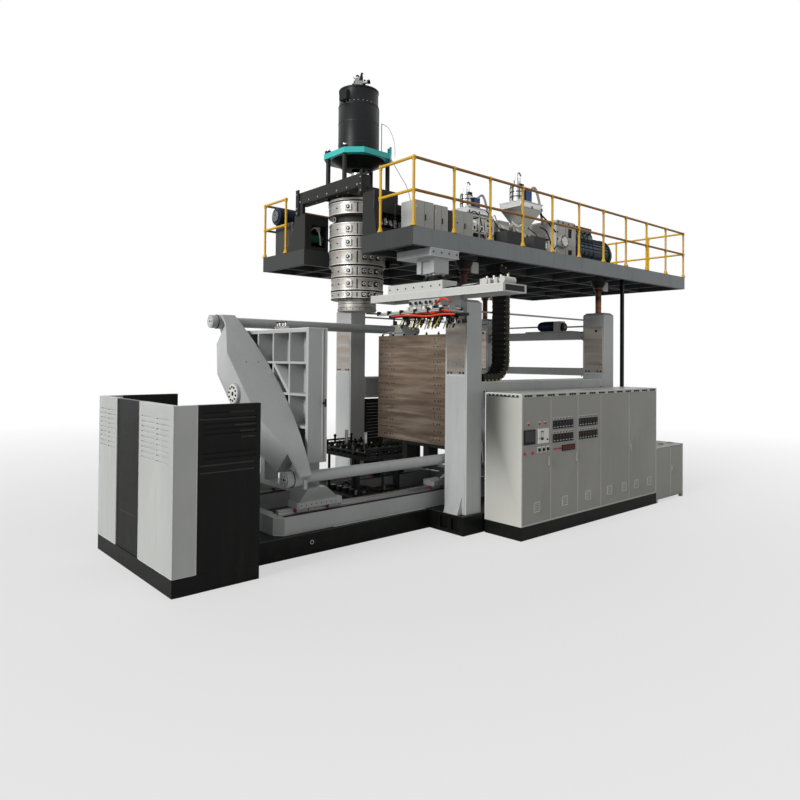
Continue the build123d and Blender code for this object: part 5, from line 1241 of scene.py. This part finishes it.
def rail_details():
    """Rail screws, black trays and edges of the rail beams drawn as light lines (painted highlights), pipes
    between them.
    """
    black, iron, edge, steel = kits_on("frame", "black", "iron", "edge", "steel")
    for y in (-770, 770):
        for x in range(-1900, 2320, 120):
            stack((x, y, 610), to_z, (black, 11, 1), sides=12)
        for low, high in ((y - 180, y - 95), (y + 95, y + 160)):
            black.box(-1930, 2440, low, high, 550, 552)
    edge.box(-1150, 660, -992, -990, 308, 317)
    edge.box(-2052, -2050, -850, -602, 540, 551)
    edge.box(-2052, -2050, -850, -844, 302, 550)
    for z in (306, 544):
        edge.rod((-2050, -850, z), (-1940, -960, z), 6, sides=6)
    for y in (-330, -250, 260, 340):
        stack((-1880, y, 330), to_x, (iron, 24, 4160))
    for x in spread(-1700, 2100, 9):
        for y in (-360, 230):
            iron.box(x, x + 40, y, y + 140, 300, 345)
    place, normal = photo_spot(312, 542)
    stack(place, normal, (edge, 30, 3), (black, 21, 1), sides=24)
    for y in (-1730, 1670):
        steel.box(1400, 1460, y, y + 60, 300, 340)


def blow_unit_details():
    """Black pipework, valves and clamps on the bottom blow unit's table and base."""
    black, steel, iron = kits_on("blow_table_lift", "black", "steel", "iron")
    table = 1180
    for index in range(9):
        y = -660 + index * 160
        for x in (-290, -60, 200, 340):
            if x == -60 and abs(y + 30) < 600:
                continue
            tall = 60 + 34 * ((index * 3 + x) % 4)
            black.box(x, x + 70, y, y + 60, table, table + tall)
            stack((x + 35, y + 30, table + tall), to_z, (black, 15, 36))
            stack((x - 20, y + 30, table + tall * 0.6), to_x, (steel, 12, 20))
    for side in (-1, 1):
        stack((-300, side * 640, table + 70), to_x, (black, 22, 720))
        stack((-330, side * 678.4, table + 120), to_x, (iron, 16, 770))
    for x in (-300, 416):
        stack((x, -680, table + 52), to_y, (black, 20, 1360))
    for x, y in ((-300, -650), (400, -650), (-300, 650), (400, 650), (60, -670), (60, 670)):
        stack((x, y, table + 60), to_z, (black, 18, 130))
        black.ball((x, y, table + 190), 28)
    black.box(-314, 432, -692, 692, 1118, 1126)
    for body, y in (("front_spreader_slide", -300), ("rear_spreader_slide", 300)):
        dark, bright = kits_on(body, "black", "steel")
        dark.box(-138, 138, y - 88, y + 88, 1252, 1262)
        for x in (-110, 90):
            stack((x, y, 1262), to_z, (dark, 20, 68), (bright, 12, 22))
    black, iron, grey = kits_on("frame", "black", "iron", "grey")
    for x in (-320, 260):
        for y in (-420, 380):
            iron.box(x, x + 80, y, y + 80, 520, 560)
            stack((x + 40, y + 40, 560), to_z, (grey, 20, 60))
    for y in range(-380, 301, 170):
        iron.box(-240, -150, y, y + 80, 520, 600)
        stack((-150, y + 40, 560), to_x, (grey, 14, 90))
        black.hose([(-60, y + 40, 560), (60, y + 60, 600), (160, y + 20, 560), (300, y, 530)], 13)


yoke_details()
carriage_details()
left_platen_details()
right_platen_details()
rail_details()
blow_unit_details()


# Guard and base

def guard_details():
    """Folds and louvre lips of the guard's sheets drawn as light lines, painted highlights, and the punched
    slots of the dark wing.
    """
    edge, soot = kits_on("frame", "edge", "soot")
    low, high, face, wing = 212, 2156, -3700, -1453
    for y in (wing, -412, 412, 1133):
        edge.box(face - 2, face, y, y + 6, low, high)
    for x in (face, -3418):
        edge.box(x, x + 6, wing - 2, wing, low, high)
    for y0, y1 in ((wing, -410), (410, 1139)):
        edge.box(face - 1.5, face + 10, y0, y1, high - 3, high + 1)
        edge.box(face - 2, face, y0, y1, low, low + 5)
    for z0, z1 in ((high - 6, high), (low, low + 5)):
        edge.box(face, -3410, wing - 2, wing, z0, z1)
    # A faint grey line along the top of the dark wing: a painted highlight.
    soot.box(-3410, -2600, wing - 1.5, wing, high - 4, high)
    rows = (
        (2069, -3010), (1995, -3390), (1914, -2950), (1840, -2880), (1766, -2850), (1458, -3380),
        (1372, -3380),
    )
    for z, start in rows:
        for x in range(start, -2680, 26):
            soot.box(x, x + 13, wing - 1.6, wing + 1, z - 17, z)
    for z in range(1975, 1975 - 9 * 62, -62):
        for y0, y1 in ((-1323, -960), (-900, -480), (480, 760), (820, 1069)):
            edge.box(face - 1, face + 1, y0, y1, z, z + 4)
    soot.box(-3690, -3687, -300, 300, 700, 705)
    for z in range(1845, 1845 - 12 * 60, -60):
        edge.box(1235, 2605, 1262, 1271, z, z + 5)


def base_details():
    """Faint grey lines along the rims of the black base and plinths, painted highlights, and its lifting
    eyes.
    """
    soot, black = kits_on("frame", "soot", "black")
    rims = (
        (726, 5228, -1761.5, -1760, 292, 300), (724.5, 726, -1760, 1760, 292, 300),
        (-2600, 726, -1022.5, -1021, 290, 299), (1185, 5290, -2507.5, -2506, 199, 206),
    )
    for rim in rims:
        soot.box(*rim)
    for x in (-2200, -1300, -400, 500):
        stack((x, -1021, 150), -to_y, (black, 34, 1), sides=24)


guard_details()
base_details()

for (body, look), made in kits.items():
    if made.parts or made.work.verts:
        piece = made.done()
        if look in ("rail", "worn_rail"):
            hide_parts("handrails")


# Floor and light

work = bmesh.new()
bmesh.ops.create_grid(work, x_segments=1, y_segments=1, size=60)
mesh = bpy.data.meshes.new("studio_floor")
work.to_mesh(mesh)
work.free()
floor = placed("studio_floor", mesh)
floor.location.z = -0.001
pale = bpy.data.materials.new("pale_floor")
pale.use_nodes = True
mesh.materials.append(pale)

# The floor fades to white for the camera, far from the machine
tree = pale.node_tree
shader = tree.nodes["Principled BSDF"]
fill(tree, shader, {"Base Color": (0.6, 0.6, 0.6, 1), "Roughness": 0.9})
distance = node(tree, "ShaderNodeVectorMath", {0: object_place(tree)}, operation="LENGTH").outputs["Value"]
rays = node(tree, "ShaderNodeLightPath").outputs
fade = combined(tree, "MULTIPLY", fitted(tree, distance, 4, 20, 0.55, 1.0), rays["Is Camera Ray"])
white = node(tree, "ShaderNodeEmission").outputs[0]
mixed = node(tree, "ShaderNodeMixShader", {0: fade, 1: shader.outputs[0], 2: white})
fill(tree, tree.nodes["Material Output"], {"Surface": mixed.outputs[0]})

# The sky is white where it is seen or mirrored, and lights the machine with less
world = bpy.data.worlds.new("studio_world")
bpy.context.scene.world = world
world.use_nodes = True
tree = world.node_tree
rays = node(tree, "ShaderNodeLightPath").outputs
seen = combined(tree, "MAXIMUM", rays["Is Camera Ray"], rays["Is Glossy Ray"])
seen = combined(tree, "MAXIMUM", seen, rays["Is Transmission Ray"])
strength = fitted(tree, seen, 0.0, 1.0, 0.36, 1.0)
fill(tree, tree.nodes["Background"], {"Color": (1, 1, 1, 1), "Strength": strength})


def soft_sun(name, towards, strength, spread_angle):
    """A wide sun that shines along a direction."""
    data = bpy.data.lights.new(name, "SUN")
    data.energy = strength
    data.angle = math.radians(spread_angle)
    lamp = placed(name, data)
    lamp.matrix_world = Vector(towards).to_track_quat("-Z", "Y").to_matrix().to_4x4()


soft_sun("key_light", (0.93, 0.03, -0.40), 2.5, 24)
soft_sun("fill_light", (0.2, 0.9, -0.35), 0.1, 60)
